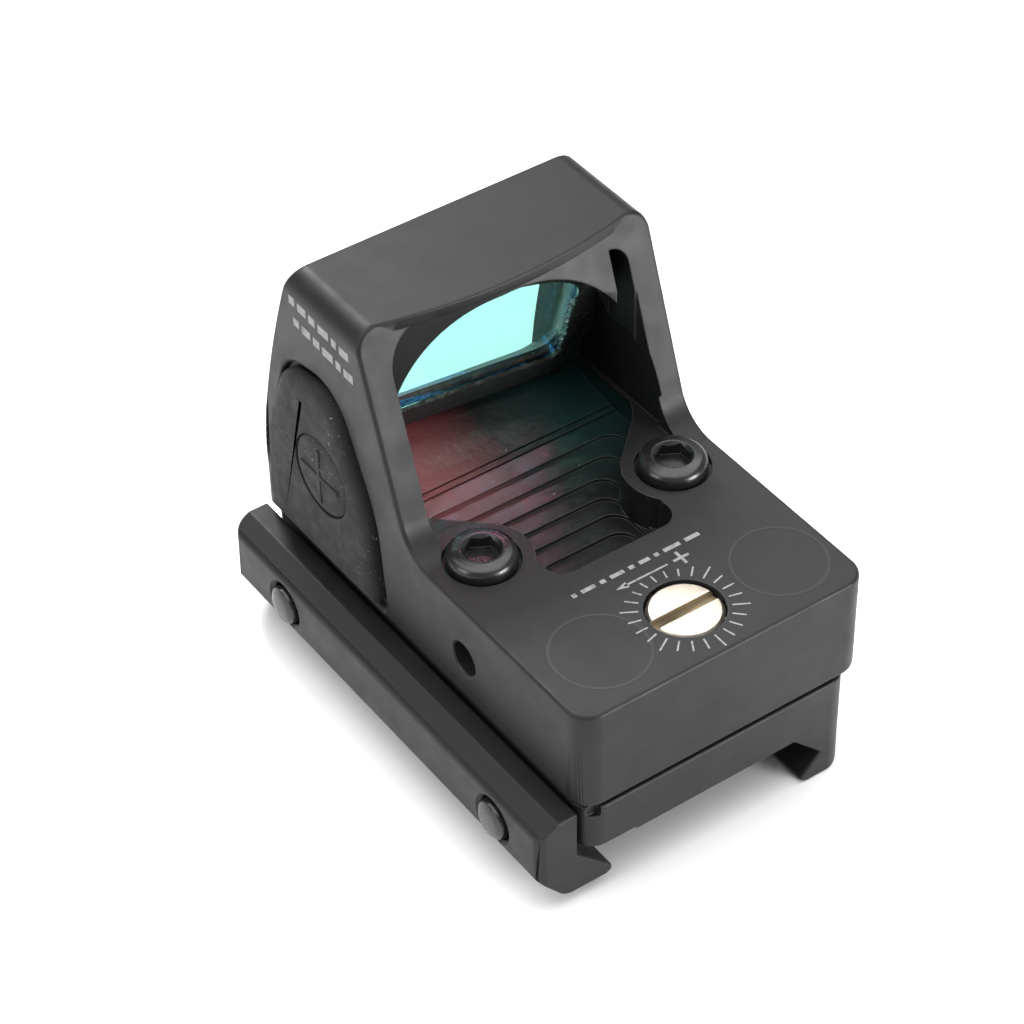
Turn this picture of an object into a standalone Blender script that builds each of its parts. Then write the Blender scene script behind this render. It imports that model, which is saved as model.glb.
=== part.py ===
"""Red dot finder: an open reflex sight on a clamp for a 21.2 mm accessory rail.

+Y points at the target, +X right, +Z up. The origin is on the rail seat, under the middle of the housing.
Every length below is in millimetres, and each mesh is scaled to metres as it is made.
"""
import math

import bmesh
import bpy
from mathutils import Matrix, Vector

MM = 0.001
GAP = 0.2                   # between neighbours inside
SEAM = 0.3                  # between the housing and the mount

# Housing
HALF_WIDTH = 14.0
TAIL_Y = -22.0
NOSE_Y = 23.05
BASE_Z = 4.95
DECK_Z = 14.75
HOOD_Z = 32.9
NOSE_SWEEP = 6.05           # how far the nose leans back from base to hood top
HOOD_FOOT_Y = -1.9          # where the hood's fillet leaves the deck
HOOD_FILLET = 4.0
HOOD_LEAN = math.radians(19.6)
BROW_BOW = 1.6              # the hood's rear top edge bows backwards by this
BROW_THICK = 1.1

# Light path
TUNNEL_HALF = 11.5
RIM_TOP_Z = 31.9
RECESS_Y = 6.6
ARCH_SPRING_Z = 17.75
ARCH_TOP_Z = 30.9
ARCH_X = 0.3
GROOVE_INNER_X = 9.7
GROOVE_OUTER_X = 11.35
GROOVE_Y = 8.7
WELL_REAR_Y = -8.05
WELL_FLOOR_Z = 10.15
STEP_COUNT = 7
STEP_RUN = 1.75
STEP_RISE = 0.32
SILL_Z = 13.75
SILL_Y = 15.6

# Lens, in its own leaning and turned frame
LENS_FOOT = Vector((0.0, 14.73, 14.65))
LENS_TOE = math.radians(-7.0)
LENS_LEAN = math.radians(19.3)
LENS_HALF = 10.85
LENS_TALL = 16.6
LENS_SPRING = 11.0
LENS_THICK = 2.6
LENS_LIP = 0.5
FRAME_THICK = 3.8
FLARE_DEEP = 8.0
MOUTH_HALF = 12.6

# Adjusters
DIAL_R = 3.15
DIAL_DEEP = 1.28
SHANK_R = 1.2
DIAL_RECESS = 2.25
ELEVATION_Y = -16.5
WINDAGE_Y = -6.5
WINDAGE_Z = 9.4
EMITTER_X = -2.0

# Fixings
SCREW_X = 9.43
SCREW_Y = -2.67
SCREW_HEAD_R = 2.9
SCREW_SHANK_R = 1.5

# Side pads and buttons
BUTTON_Y = 12.0
BUTTON_Z = 15.8
BUTTON_R = 3.7
PAD_PROUD = 0.9
PAD_BACK_X = 13.5

# Battery
BATTERY_Y = 10.9
BATTERY_R = 10.0

# Mount and rail clamp
RAIL_X = -0.6               # centre plane of the rail
RAIL_HALF = 10.6
RAIL_EDGE_Z = -2.74         # widest corner of the rail, below its top
PLATE_LEFT_X = -13.5
SEAT_LEFT_X = -8.6           # the seat is as wide as the rail's top; left of it the plate is relieved
RELIEF = 0.25
PLATE_RIGHT_X = 12.8
PLATE_TOP_Z = BASE_Z - SEAM
MOUNT_REAR_Y = -22.0
MOUNT_FRONT_Y = 22.8
JAW_FOOT_Z = -5.4
BAR_INNER_X = -13.85
BAR_OUTER_X = -17.55
BAR_REAR_Y = -21.4
BAR_FRONT_Y = 23.0
BOLT_Y = (14.86, -15.16)    # three rail slots apart
BOLT_Z = 0.85
BOLT_R = 1.75

model = None
cutters = None


# ------------------------------------------------------------------ scene and materials
def empty_scene():
    for item in list(bpy.data.objects):
        bpy.data.objects.remove(item, do_unlink=True)
    for name in ("red_dot_finder", "cutters"):
        old = bpy.data.collections.get(name)
        if old:
            bpy.data.collections.remove(old)
        bpy.context.scene.collection.children.link(bpy.data.collections.new(name))
    return bpy.data.collections["red_dot_finder"], bpy.data.collections["cutters"]


def material(name, colour, roughness, metallic=0.0):
    made = bpy.data.materials.get(name) or bpy.data.materials.new(name)
    made.use_nodes = True
    shader = made.node_tree.nodes["Principled BSDF"]
    shader.inputs["Base Color"].default_value = (*colour, 1.0)
    shader.inputs["Roughness"].default_value = roughness
    shader.inputs["Metallic"].default_value = metallic
    return made


# ------------------------------------------------------------------ shape helpers
def place(name, mesh, collection):
    mesh.transform(Matrix.Scale(MM, 4))
    made = bpy.data.objects.new(name, mesh)
    collection.objects.link(made)
    if collection is cutters:
        made.display_type = "WIRE"
        made.hide_render = True
    return made


def from_bmesh(name, bm, collection):
    mesh = bpy.data.meshes.new(name)
    bm.to_mesh(mesh)
    bm.free()
    return place(name, mesh, collection)


def box(name, x, y, z, collection=None):
    """A box between the (low, high) pairs x, y and z."""
    bm = bmesh.new()
    size = [pair[1] - pair[0] for pair in (x, y, z)]
    middle = [(pair[1] + pair[0]) / 2 for pair in (x, y, z)]
    bmesh.ops.create_cube(bm, size=1.0, matrix=Matrix.LocRotScale(Vector(middle), None, Vector(size)))
    return from_bmesh(name, bm, collection or model)


def facing(axis):
    """Turns local +Z onto the named axis."""
    turns = {"X": Matrix.Rotation(math.pi / 2, 4, "Y"), "Y": Matrix.Rotation(-math.pi / 2, 4, "X")}
    return turns.get(axis, Matrix.Identity(4))


def rod(name, centre, radius, low, high, axis="Z", sides=32, collection=None, cone=None):
    """A cylinder along an axis, from low to high; centre gives the other two coordinates in order."""
    bm = bmesh.new()
    bmesh.ops.create_cone(bm, cap_ends=True, segments=sides, radius1=radius, radius2=cone or radius,
                          depth=high - low, matrix=facing(axis))
    middle = (low + high) / 2
    spot = {"X": (middle, *centre), "Y": (centre[0], middle, centre[1]), "Z": (*centre, middle)}[axis]
    bmesh.ops.translate(bm, verts=bm.verts, vec=spot)
    return from_bmesh(name, bm, collection or model)


def rounded(corners, steps=5):
    """An outline from (u, v, radius) corners, each turned into an arc."""
    points = []
    for index, (u, v, radius) in enumerate(corners):
        here = Vector((u, v))
        if radius <= 0:
            points.append(here)
            continue
        before = (Vector(corners[index - 1][:2]) - here).normalized()
        after = (Vector(corners[(index + 1) % len(corners)][:2]) - here).normalized()
        half = before.angle(after) / 2
        centre = here + (before + after).normalized() * radius / math.sin(half)
        start = here + before * radius / math.tan(half) - centre
        turn = start.angle_signed(here + after * radius / math.tan(half) - centre)
        for step in range(steps + 1):
            points.append(centre + Matrix.Rotation(-turn * step / steps, 2) @ start)
    return points


def outline(name, points, low, high, plane="XY", frame=None, collection=None):
    """A flat outline between low and high along the plane's normal, as a filled 2D curve made solid."""
    curve = bpy.data.curves.new(name, "CURVE")
    curve.dimensions = "2D"
    curve.fill_mode = "BOTH"
    curve.extrude = (high - low) / 2
    spline = curve.splines.new("POLY")
    spline.points.add(len(points) - 1)
    for spot, point in zip(spline.points, points):
        spot.co = (point[0], point[1], 0, 1)
    spline.use_cyclic_u = True
    middle = (low + high) / 2
    stand = {
        "XY": Matrix.Translation((0, 0, middle)),
        "XZ": Matrix.Translation((0, middle, 0)) @ Matrix.Rotation(math.pi / 2, 4, "X"),
        "YZ": Matrix(((0, 0, 1, middle), (1, 0, 0, 0), (0, 1, 0, 0), (0, 0, 0, 1))),
    }[plane]
    drawn = bpy.data.objects.new(name + "_curve", curve)
    bpy.context.scene.collection.objects.link(drawn)
    seen = drawn.evaluated_get(bpy.context.evaluated_depsgraph_get())
    mesh = bpy.data.meshes.new_from_object(seen)
    bpy.data.objects.remove(drawn, do_unlink=True)
    bm = bmesh.new()
    bm.from_mesh(mesh)
    bmesh.ops.remove_doubles(bm, verts=bm.verts, dist=0.0001)
    bmesh.ops.dissolve_limit(bm, angle_limit=0.001, verts=bm.verts, edges=bm.edges)
    bmesh.ops.recalc_face_normals(bm, faces=bm.faces)
    bmesh.ops.transform(bm, matrix=(frame or Matrix.Identity(4)) @ stand, verts=bm.verts)
    bpy.data.meshes.remove(mesh)
    return from_bmesh(name, bm, collection or model)


def turned(name, profile, spot, axis="Z", steps=32, collection=None):
    """A profile of (radius, height) pairs, outer side top to bottom, turned about an axis through spot."""
    mesh = bpy.data.meshes.new(name)
    points = [(radius, 0, height) for radius, height in profile]
    closed = profile[0][0] > 0.0
    edges = [(index, index + 1) for index in range(len(points) - 1)]
    if closed:
        edges.append((len(points) - 1, 0))
    mesh.from_pydata(points, edges, [])
    made = place(name, mesh, collection or model)
    screw = made.modifiers.new("turn", "SCREW")
    screw.steps = steps
    screw.render_steps = steps
    screw.use_merge_vertices = True
    screw.merge_threshold = 0.000001
    made.matrix_world = Matrix.Translation(Vector(spot) * MM) @ facing(axis)
    return made


def coil(name, start, radius, wire, length, turns, axis):
    """A compression spring as a round wire along a helix."""
    curve = bpy.data.curves.new(name, "CURVE")
    curve.dimensions = "3D"
    curve.bevel_depth = wire / 2
    curve.bevel_resolution = 1
    curve.use_fill_caps = True
    count = int(turns * 10)
    spline = curve.splines.new("POLY")
    spline.points.add(count)
    rise = length - wire
    for index, spot in enumerate(spline.points):
        angle = 2 * math.pi * turns * index / count
        spot.co = (radius * math.cos(angle), radius * math.sin(angle), wire / 2 + rise * index / count, 1)
    drawn = bpy.data.objects.new(name + "_curve", curve)
    bpy.context.scene.collection.objects.link(drawn)
    mesh = bpy.data.meshes.new_from_object(drawn.evaluated_get(bpy.context.evaluated_depsgraph_get()))
    bpy.data.objects.remove(drawn, do_unlink=True)
    bm = bmesh.new()
    bm.from_mesh(mesh)
    bpy.data.meshes.remove(mesh)
    bmesh.ops.remove_doubles(bm, verts=bm.verts, dist=0.0001)
    bmesh.ops.transform(bm, matrix=Matrix.Translation(start) @ facing(axis), verts=bm.verts)
    return from_bmesh(name, bm, model)


def boolean(target, operation, *tools):
    for tool in tools:
        step = target.modifiers.new(tool.name, "BOOLEAN")
        step.operation = operation
        step.object = tool
        step.solver = "EXACT"
    return target


def soften(target, width, segments=1, angle=40):
    bevel = target.modifiers.new("soften", "BEVEL")
    bevel.width = width * MM
    bevel.segments = segments
    bevel.limit_method = "ANGLE"
    bevel.angle_limit = math.radians(angle)
    return target


def dress(target, slot):
    target.data.materials.clear()
    target.data.materials.append(slot)
    return target


# ------------------------------------------------------------------ outlines
def side_profile():
    """The housing from the side, in Y and Z: tail, deck, filleted hood foot, leaning hood, swept nose."""
    points = [Vector((TAIL_Y, BASE_Z)), Vector((TAIL_Y, DECK_Z))]
    for step in range(7):
        angle = -math.pi / 2 + (math.pi / 2 - HOOD_LEAN) * step / 6
        points.append(Vector((HOOD_FOOT_Y + HOOD_FILLET * math.cos(angle),
                              DECK_Z + HOOD_FILLET * (1 + math.sin(angle)))))
    foot = points[-1]
    points.append(Vector((foot.x + (HOOD_Z - foot.y) * math.tan(HOOD_LEAN), HOOD_Z)))
    tall = HOOD_Z - BASE_Z
    for step in range(9):
        part = 1 - step / 8
        points.append(Vector((NOSE_Y - NOSE_SWEEP * part ** 1.75, BASE_Z + tall * part)))
    return points[::-1]


def hood_top_y():
    """Where the hood's leaning rear face meets its top, at the sides."""
    return side_profile()[9].x


def arch(half, foot, spring, top, corner=0.0, steps=14, power=2.0):
    """Straight sides from foot to spring, then half an ellipse, or a squarer curve, to the top."""
    points = rounded([(-half, spring, 0), (-half, foot, corner), (half, foot, corner), (half, spring, 0)], 4)
    for step in range(1, steps):
        angle = math.pi * step / steps
        across = math.copysign(abs(math.cos(angle)) ** (2 / power), math.cos(angle))
        points.append(Vector((half * across, spring + (top - spring) * math.sin(angle) ** (2 / power))))
    return points


def well_plan():
    """The light well from above: wide under the hood, waisted between the screw bosses, round at the rear."""
    right = [(4.6, WELL_REAR_Y), (5.6, -7.6), (6.1, -6.5), (5.75, -5.0), (5.25, -3.6), (5.15, -2.2),
             (5.45, -0.8), (6.6, 0.7), (10.6, 4.2), (TUNNEL_HALF, 5.6), (TUNNEL_HALF, 24.0)]
    return [Vector(point) for point in right] + [Vector((-x, y)) for x, y in reversed(right)]


def well_profile():
    """The light well from the side: a stepped floor that climbs to the lens sill."""
    points = [Vector((WELL_REAR_Y - 1, 20)), Vector((WELL_REAR_Y - 1, WELL_FLOOR_Z))]
    y = -4.6
    z = WELL_FLOOR_Z
    for _ in range(STEP_COUNT):
        points.append(Vector((y, z)))
        z += STEP_RISE
        points.append(Vector((y, z)))
        y += STEP_RUN
    points += [Vector((SILL_Y, SILL_Z)), Vector((24, SILL_Z)), Vector((24, 20))]
    return points


def lens_frame():
    """The lens's own axes: X across, Y up the glass, Z towards the eye, from the foot of the glass."""
    turn = Matrix.Rotation(LENS_TOE, 4, "Z") @ Matrix.Rotation(math.pi / 2 + LENS_LEAN, 4, "X")
    return Matrix.Translation(LENS_FOOT) @ turn


def lens_outline(grow):
    return arch(LENS_HALF + grow, -grow, LENS_SPRING, LENS_TALL + grow, 2.0 + grow / 2)


def flare(frame):
    """The mouth ahead of the lens: it opens out to the sides and drops steeply to the chin."""
    near = lens_outline(-LENS_LIP - 0.2)
    wide = LENS_HALF - LENS_LIP + 0.63 * FLARE_DEEP
    far = arch(wide, -13.9, LENS_SPRING - 11.7, 13.3, 4.0)
    bm = bmesh.new()
    rings = []
    for points, deep in ((near, FRAME_THICK - 0.6), (far, FRAME_THICK + FLARE_DEEP)):
        rings.append([bm.verts.new((point.x, point.y, -deep)) for point in points])
    count = len(near)
    for index in range(count):
        after = (index + 1) % count
        bm.faces.new((rings[0][index], rings[0][after], rings[1][after], rings[1][index]))
    bm.faces.new(rings[0])
    bm.faces.new(rings[1])
    bmesh.ops.triangulate(bm, faces=bm.faces)
    bmesh.ops.recalc_face_normals(bm, faces=bm.faces)
    bmesh.ops.transform(bm, matrix=frame, verts=bm.verts)
    mouth = from_bmesh("mouth", bm, cutters)
    inside = box("mouth_limit", (-MOUTH_HALF, MOUTH_HALF), (0, 40), (0, 60), cutters)
    return boolean(mouth, "INTERSECT", inside)


def pad_outline(grow=0.0):
    """A side pad in Y and Z: a tall arch that leans with the hood, flat along its foot."""
    corners = [(21.0 + grow, 6.3 - grow, 1.5), (20.3 + grow, 16.0, 9.0), (17.6, 23.4 + grow, 3.4),
               (10.6, 24.7 + grow, 4.5), (6.3 - grow, 15.5, 14.0), (5.1 - grow, 6.3 - grow, 0.8)]
    return rounded(corners, 6)


# ------------------------------------------------------------------ housing and optics
def make_housing(black):
    body = outline("housing", side_profile(), -HALF_WIDTH, HALF_WIDTH, "YZ")
    plan = rounded([(HALF_WIDTH, TAIL_Y, 2.15), (HALF_WIDTH, NOSE_Y, 1.5),
                    (-HALF_WIDTH, NOSE_Y, 1.5), (-HALF_WIDTH, TAIL_Y, 2.15)], 6)
    front = rounded([(-HALF_WIDTH, BASE_Z, 0.8), (HALF_WIDTH, BASE_Z, 0.8),
                     (HALF_WIDTH, HOOD_Z, 2.0), (-HALF_WIDTH, HOOD_Z, 2.0)], 5)
    boolean(body, "INTERSECT",
            outline("plan_shape", plan, 0, 40, "XY", collection=cutters),
            outline("front_shape", front, -30, 30, "XZ", collection=cutters))
    boolean(body, "UNION", make_brow())
    boolean(body, "DIFFERENCE", *light_path_cutters(), *bottom_cutters(), *adjuster_cutters(),
            *screw_cutters(), *side_cutters(1), *side_cutters(-1))
    return dress(body, black)


def make_brow():
    """The thin top wall carried backwards in a bow over the opening."""
    half = 12.2
    edge = hood_top_y()
    points = [Vector((half, edge + 2)), Vector((-half, edge + 2))]
    for step in range(13):
        across = -half + 2 * half * step / 12
        points.append(Vector((across, edge - BROW_BOW * (1 - (across / half) ** 2))))
    return outline("brow", points, HOOD_Z - BROW_THICK, HOOD_Z, "XY", collection=cutters)


def light_path_cutters():
    frame = lens_frame()
    behind = outline("behind_lens", [(-40, -40), (40, -40), (40, 40), (-40, 40)], 0, 60, "XY", frame, cutters)
    rim = rounded([(-TUNNEL_HALF, 13.0, 0), (TUNNEL_HALF, 13.0, 0),
                   (TUNNEL_HALF, RIM_TOP_Z, 3.6), (-TUNNEL_HALF, RIM_TOP_Z, 3.6)], 5)
    recess = outline("rim_opening", rim, -20, 30, "XZ", collection=cutters)
    turned_back = Matrix.Translation((0, RECESS_Y, 0)) @ Matrix.Rotation(LENS_TOE, 4, "Z")
    limit = outline("recess_limit", [(-40, -60), (40, -60), (40, 0), (-40, 0)], 0, 60, "XY",
                    turned_back, cutters)
    deck_side = box("above_deck", (-40, 40), (-40, 40), (DECK_Z, 60), cutters)
    boolean(recess, "INTERSECT", limit, deck_side)

    top = RIM_TOP_Z - 1.2
    corners = [(GROOVE_INNER_X, DECK_Z, 0), (GROOVE_OUTER_X, DECK_Z, 0), (GROOVE_OUTER_X, top, 1.6),
               (GROOVE_INNER_X, top, 0)]
    groove = outline("rim_groove", rounded(corners, 5), -20, GROOVE_Y, "XZ", collection=cutters)
    shape = arch(TUNNEL_HALF, DECK_Z, ARCH_SPRING_Z, ARCH_TOP_Z, power=2.25)
    tunnel = outline("tunnel", shape, 2, 30, "XZ", Matrix.Translation((ARCH_X, 0, 0)), cutters)
    boolean(tunnel, "INTERSECT", behind)
    mouth = flare(frame)

    well = outline("well", well_profile(), -20, 20, "YZ", collection=cutters)
    boolean(well, "INTERSECT", outline("well_plan", well_plan(), 0, 40, "XY", collection=cutters), behind)

    pocket = outline("lens_pocket", lens_outline(0.55), -LENS_THICK - GAP, 0.75, "XY", frame, cutters)
    window = outline("lens_window", lens_outline(-LENS_LIP), -FRAME_THICK, 1, "XY", frame, cutters)
    hole = box("emitter_hole", (EMITTER_X - 2, EMITTER_X + 2), (-10.5, WELL_REAR_Y + 1), (10.3, 11.5), cutters)
    return recess, groove, tunnel, mouth, well, pocket, window, hole


def bottom_cutters():
    """Battery bay, adjuster bay and the two boss holes, all open at the bottom."""
    battery = rod("battery_bay", (0, BATTERY_Y), BATTERY_R + 0.3, BASE_Z - 1, 9.3, sides=48, collection=cutters)
    low_bay = box("low_bay", (-7, 7), (-19.6, 2.0), (BASE_Z - 1.3, 9.25), cutters)
    high_bay = box("high_bay", (-6, 6), (-19.5, -9.3), (BASE_Z - 0.7, 11.6), cutters)
    holes = [rod(f"boss_hole_{side}", (side * 10.3, -17.0), 2.0, BASE_Z - 1, BASE_Z + 1.5, sides=24,
                 collection=cutters) for side in (-1, 1)]
    return battery, low_bay, high_bay, *holes


def adjuster_cutters():
    made = [
        rod("elevation_recess", (0, ELEVATION_Y), DIAL_R + GAP, DECK_Z - DIAL_RECESS, DECK_Z + 1, sides=40,
            collection=cutters),
        rod("elevation_bore", (0, ELEVATION_Y), SHANK_R + GAP, 10, DECK_Z, sides=24, collection=cutters),
        rod("windage_recess", (WINDAGE_Y, WINDAGE_Z), DIAL_R + GAP, HALF_WIDTH - DIAL_RECESS,
            HALF_WIDTH + 1, "X", 40, cutters),
        rod("windage_bore", (WINDAGE_Y, WINDAGE_Z), SHANK_R + GAP, 6.9, HALF_WIDTH, "X", 24, cutters),
        rod("spring_bore", (WINDAGE_Y, WINDAGE_Z), 1.5, -HALF_WIDTH - 1, -6.9, "X", 28, cutters),
    ]
    return made


def screw_cutters():
    made = []
    for side in (-1, 1):
        made.append(rod(f"screw_hole_{side}", (side * SCREW_X, SCREW_Y), SCREW_SHANK_R + GAP, 0, 20, sides=24,
                        collection=cutters))
        made.append(rod(f"screw_seat_{side}", (side * SCREW_X, SCREW_Y), SCREW_HEAD_R + 0.35,
                        DECK_Z - 0.6, DECK_Z + 4, sides=40, collection=cutters))
    return made


def side_cutters(side):
    """The recess for a side pad and the smaller pocket for its switch."""
    recess = outline(f"pad_recess_{side}", pad_outline(0.9), *sorted((side * (PAD_BACK_X - GAP), side * 16.0)), "YZ",
                     collection=cutters)
    pocket = rod(f"switch_pocket_{side}", (BUTTON_Y, BUTTON_Z), BUTTON_R + 0.3,
                 *sorted((side * 12.15, side * 16.0)), "X", 32, cutters)
    return recess, pocket


def make_lens(glass, rubber):
    frame = lens_frame()
    lens = dress(outline("lens", lens_outline(0), -LENS_THICK, 0, "XY", frame), glass)
    bead = outline("lens_seal", lens_outline(0.45), -1.6, 0.3, "XY", frame)
    bore = outline("seal_bore", lens_outline(0.12), -3, 0.15, "XY", frame, cutters)
    reach = LENS_HALF - 2
    foot = outline("seal_foot", [(-reach, -0.55), (reach, -0.55), (reach, 0.5), (-reach, 0.5)], 0.2, 0.45,
                   "XY", frame, cutters)
    lip = outline("seal_lip", lens_outline(0.45), 0.15, 0.5, "XY", frame, cutters)
    opening = arch(LENS_HALF - 1.4, 1.9, LENS_SPRING, LENS_TALL - 1.2, 1.3)
    boolean(bead, "DIFFERENCE", bore)
    boolean(bead, "UNION", lip, foot)
    boolean(bead, "DIFFERENCE", outline("seal_opening", opening, -3, 3, "XY", frame, cutters))
    return lens, dress(bead, rubber)


# ------------------------------------------------------------------ adjusters and emitter
def dial_profile(shank):
    """Head with a small chamfer, then the shank down to its tip."""
    return [(0, 0), (DIAL_R - 0.3, 0), (DIAL_R, -0.3), (DIAL_R, -DIAL_DEEP), (SHANK_R, -DIAL_DEEP),
            (SHANK_R, -shank + 0.3), (SHANK_R - 0.3, -shank), (0, -shank)]


def make_adjusters(nickel, rubber, steel):
    elevation = turned("elevation_screw", dial_profile(6.6), (0, ELEVATION_Y, DECK_Z - 0.07))
    boolean(elevation, "DIFFERENCE",
            box("elevation_slot", (-4, 4), (ELEVATION_Y - 0.5, ELEVATION_Y + 0.5), (13.9, 16), cutters))
    windage = turned("windage_screw", dial_profile(6.6), (HALF_WIDTH - 0.07, WINDAGE_Y, WINDAGE_Z), "X")
    boolean(windage, "DIFFERENCE",
            box("windage_slot", (13.15, 16), (WINDAGE_Y - 4, WINDAGE_Y + 4),
                (WINDAGE_Z - 0.5, WINDAGE_Z + 0.5), cutters))
    ring = [(2.0 + 0.3 * math.cos(a), -0.3 * math.sin(a)) for a in (2 * math.pi * n / 8 for n in range(8))]
    turned("elevation_seal", ring, (0, ELEVATION_Y, DECK_Z - DIAL_RECESS + 0.45), steps=24)
    turned("windage_seal", ring, (HALF_WIDTH - DIAL_RECESS + 0.45, WINDAGE_Y, WINDAGE_Z), "X", 24)
    dress(elevation, nickel)
    dress(windage, nickel)
    for name in ("elevation_seal", "windage_seal"):
        dress(bpy.data.objects[name], rubber)
    dress(coil("elevation_spring", (0, ELEVATION_Y, 5.2), 1.5, 0.35, 1.65, 3, "Z"), steel)
    dress(coil("windage_spring", (-10.3, WINDAGE_Y, WINDAGE_Z), 0.9, 0.35, 2.9, 4, "X"), steel)
    set_screw = rod("windage_spring_screw", (WINDAGE_Y, WINDAGE_Z), 1.3, -12.2, -10.6, "X", 24)
    socket = rod("set_screw_socket", (WINDAGE_Y, WINDAGE_Z), 0.6, -13, -11.4, "X", 6, cutters)
    dress(boolean(set_screw, "DIFFERENCE", socket), steel)


def make_emitter(brass, plastic, glass, red):
    cradle = box("led_cradle", (-5.0, 5.0), (-19.1, -13.2), (7.3, 11.0))
    arm = box("cradle_arm", (-4.0, 4.0), (-18.0, -5.2), (5.7, 7.35), cutters)
    boolean(cradle, "UNION", arm)
    boolean(cradle, "DIFFERENCE",
            rod("cradle_bore", (0, ELEVATION_Y), SHANK_R + GAP, 7.0, 12, sides=24, collection=cutters),
            rod("spring_room", (0, ELEVATION_Y), 2.2, 4, 7.45, sides=24, collection=cutters))
    dress(cradle, brass)

    carriage = box("led_carriage", (-6.5, 6.5), (-9.0, -5.1), (7.7, 8.6))
    post = box("carriage_post", (EMITTER_X - 1.8, EMITTER_X + 1.8), (-12.7, -11.2), (7.7, 11.1), cutters)
    bridge = box("carriage_bridge", (-4.5, 4.5), (-12.7, -8.0), (7.7, 8.6), cutters)
    boolean(carriage, "UNION", bridge, post)
    dress(carriage, plastic)
    dress(box("led_chip", (EMITTER_X - 0.6, EMITTER_X + 0.6), (-11.0, -10.6), (9.9, 10.9)), red)
    dress(box("emitter_window", (EMITTER_X - 1.8, EMITTER_X + 1.8), (-9.0, -8.4), (10.45, 11.35)), glass)


# ------------------------------------------------------------------ electrics
def make_electrics(board, steel, plastic, black_plastic):
    dress(box("circuit_board", (-6.5, 6.5), (-4.7, 0.0), (7.1, 7.9)), board)
    dress(box("driver_chip", (-1.6, 1.6), (-3.6, -1.0), (8.05, 8.85)), black_plastic)
    battery = turned("battery", [(0, 8.6), (8.7, 8.6), (8.9, 8.3), (9.8, 8.3), (BATTERY_R, 8.1),
                                 (BATTERY_R, 5.6), (9.8, 5.4), (0, 5.4)], (0, BATTERY_Y, 0), steps=40)
    dress(battery, steel)
    dress(rod("battery_tray", (0, BATTERY_Y), 9.6, 5.0, 5.2, sides=40), plastic)
    contact = box("battery_contact", (-5, 5), (BATTERY_Y - 1.2, BATTERY_Y + 1.2), (8.75, 9.1))
    dress(contact, steel)
    for name, side in (("left_switch", -1), ("right_switch", 1)):
        low, high = sorted((side * 12.3, side * 12.75))
        switch = box(name, (low, high), (BUTTON_Y - 1.8, BUTTON_Y + 1.8), (BUTTON_Z - 1.8, BUTTON_Z + 1.8))
        dress(switch, plastic)


# ------------------------------------------------------------------ fixings, pads, buttons
def make_mounting_screws(steel):
    top = DECK_Z + 1.2
    for name, side in (("mounting_screw_left", -1), ("mounting_screw_right", 1)):
        profile = [(0, 0), (SCREW_HEAD_R - 0.75, 0), (SCREW_HEAD_R - 0.3, -0.2), (SCREW_HEAD_R, -0.7),
                   (SCREW_HEAD_R, -1.6), (SCREW_SHANK_R, -1.6), (SCREW_SHANK_R, -13.6), (0, -13.9)]
        screw = turned(name, profile, (side * SCREW_X, SCREW_Y, top))
        socket = rod(name + "_socket", (side * SCREW_X, SCREW_Y), 1.5, top - 1.2, top + 1, sides=6,
                     collection=cutters)
        dress(boolean(screw, "DIFFERENCE", socket), steel)


def make_pad(pad_name, button_name, side, rubber):
    face = side * (HALF_WIDTH + PAD_PROUD)
    low, high = sorted((side * PAD_BACK_X, face))
    pad = outline(pad_name, pad_outline(), low, high, "YZ")
    soften(pad, 0.5, 2, 60)
    opening = rod(pad_name + "_opening", (BUTTON_Y, BUTTON_Z), BUTTON_R + 0.2, *sorted((side * 12, side * 17)),
                  "X", 32, cutters)
    dress(boolean(pad, "DIFFERENCE", opening), rubber)
    head = side * (HALF_WIDTH + PAD_PROUD + 0.25)
    profile = [(0, 1.95), (BUTTON_R - 0.3, 1.95), (BUTTON_R, 1.65), (BUTTON_R, 0), (0, 0)]
    button = turned(button_name, profile, (head - side * 1.95, BUTTON_Y, BUTTON_Z), "X")
    if side < 0:
        button.matrix_world = button.matrix_world @ Matrix.Rotation(math.pi, 4, "X")
    depth = sorted((head - side * 0.15, head + side))
    marks = [box(button_name + "_bar", depth, (BUTTON_Y - 2.7, BUTTON_Y + 2.7),
                 (BUTTON_Z - 0.25, BUTTON_Z + 0.25), cutters)]
    if side < 0:
        marks.append(box(button_name + "_post", depth, (BUTTON_Y - 0.25, BUTTON_Y + 0.25),
                         (BUTTON_Z - 2.7, BUTTON_Z + 2.7), cutters))
    dress(boolean(button, "DIFFERENCE", *marks), rubber)


# ------------------------------------------------------------------ mount and clamp
def mount_section():
    """The mount from behind, in X and Z: seat, then the fixed jaw's notch on the right."""
    apex_x = RAIL_X + RAIL_HALF + 0.05
    apex_z = RAIL_EDGE_Z - 0.06
    lip = 2.05
    return rounded([
        (PLATE_LEFT_X, RELIEF, 0.2), (SEAT_LEFT_X, RELIEF, 0), (SEAT_LEFT_X, 0, 0),
        (apex_x + apex_z, 0, 0), (apex_x, apex_z, 0),
        (apex_x - lip, apex_z - lip, 0.3), (apex_x - lip + 0.7, JAW_FOOT_Z, 0.4),
        (PLATE_RIGHT_X, JAW_FOOT_Z, 1.3), (PLATE_RIGHT_X, PLATE_TOP_Z, 0.3), (PLATE_LEFT_X, PLATE_TOP_Z, 0.3),
    ], 3)


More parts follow.
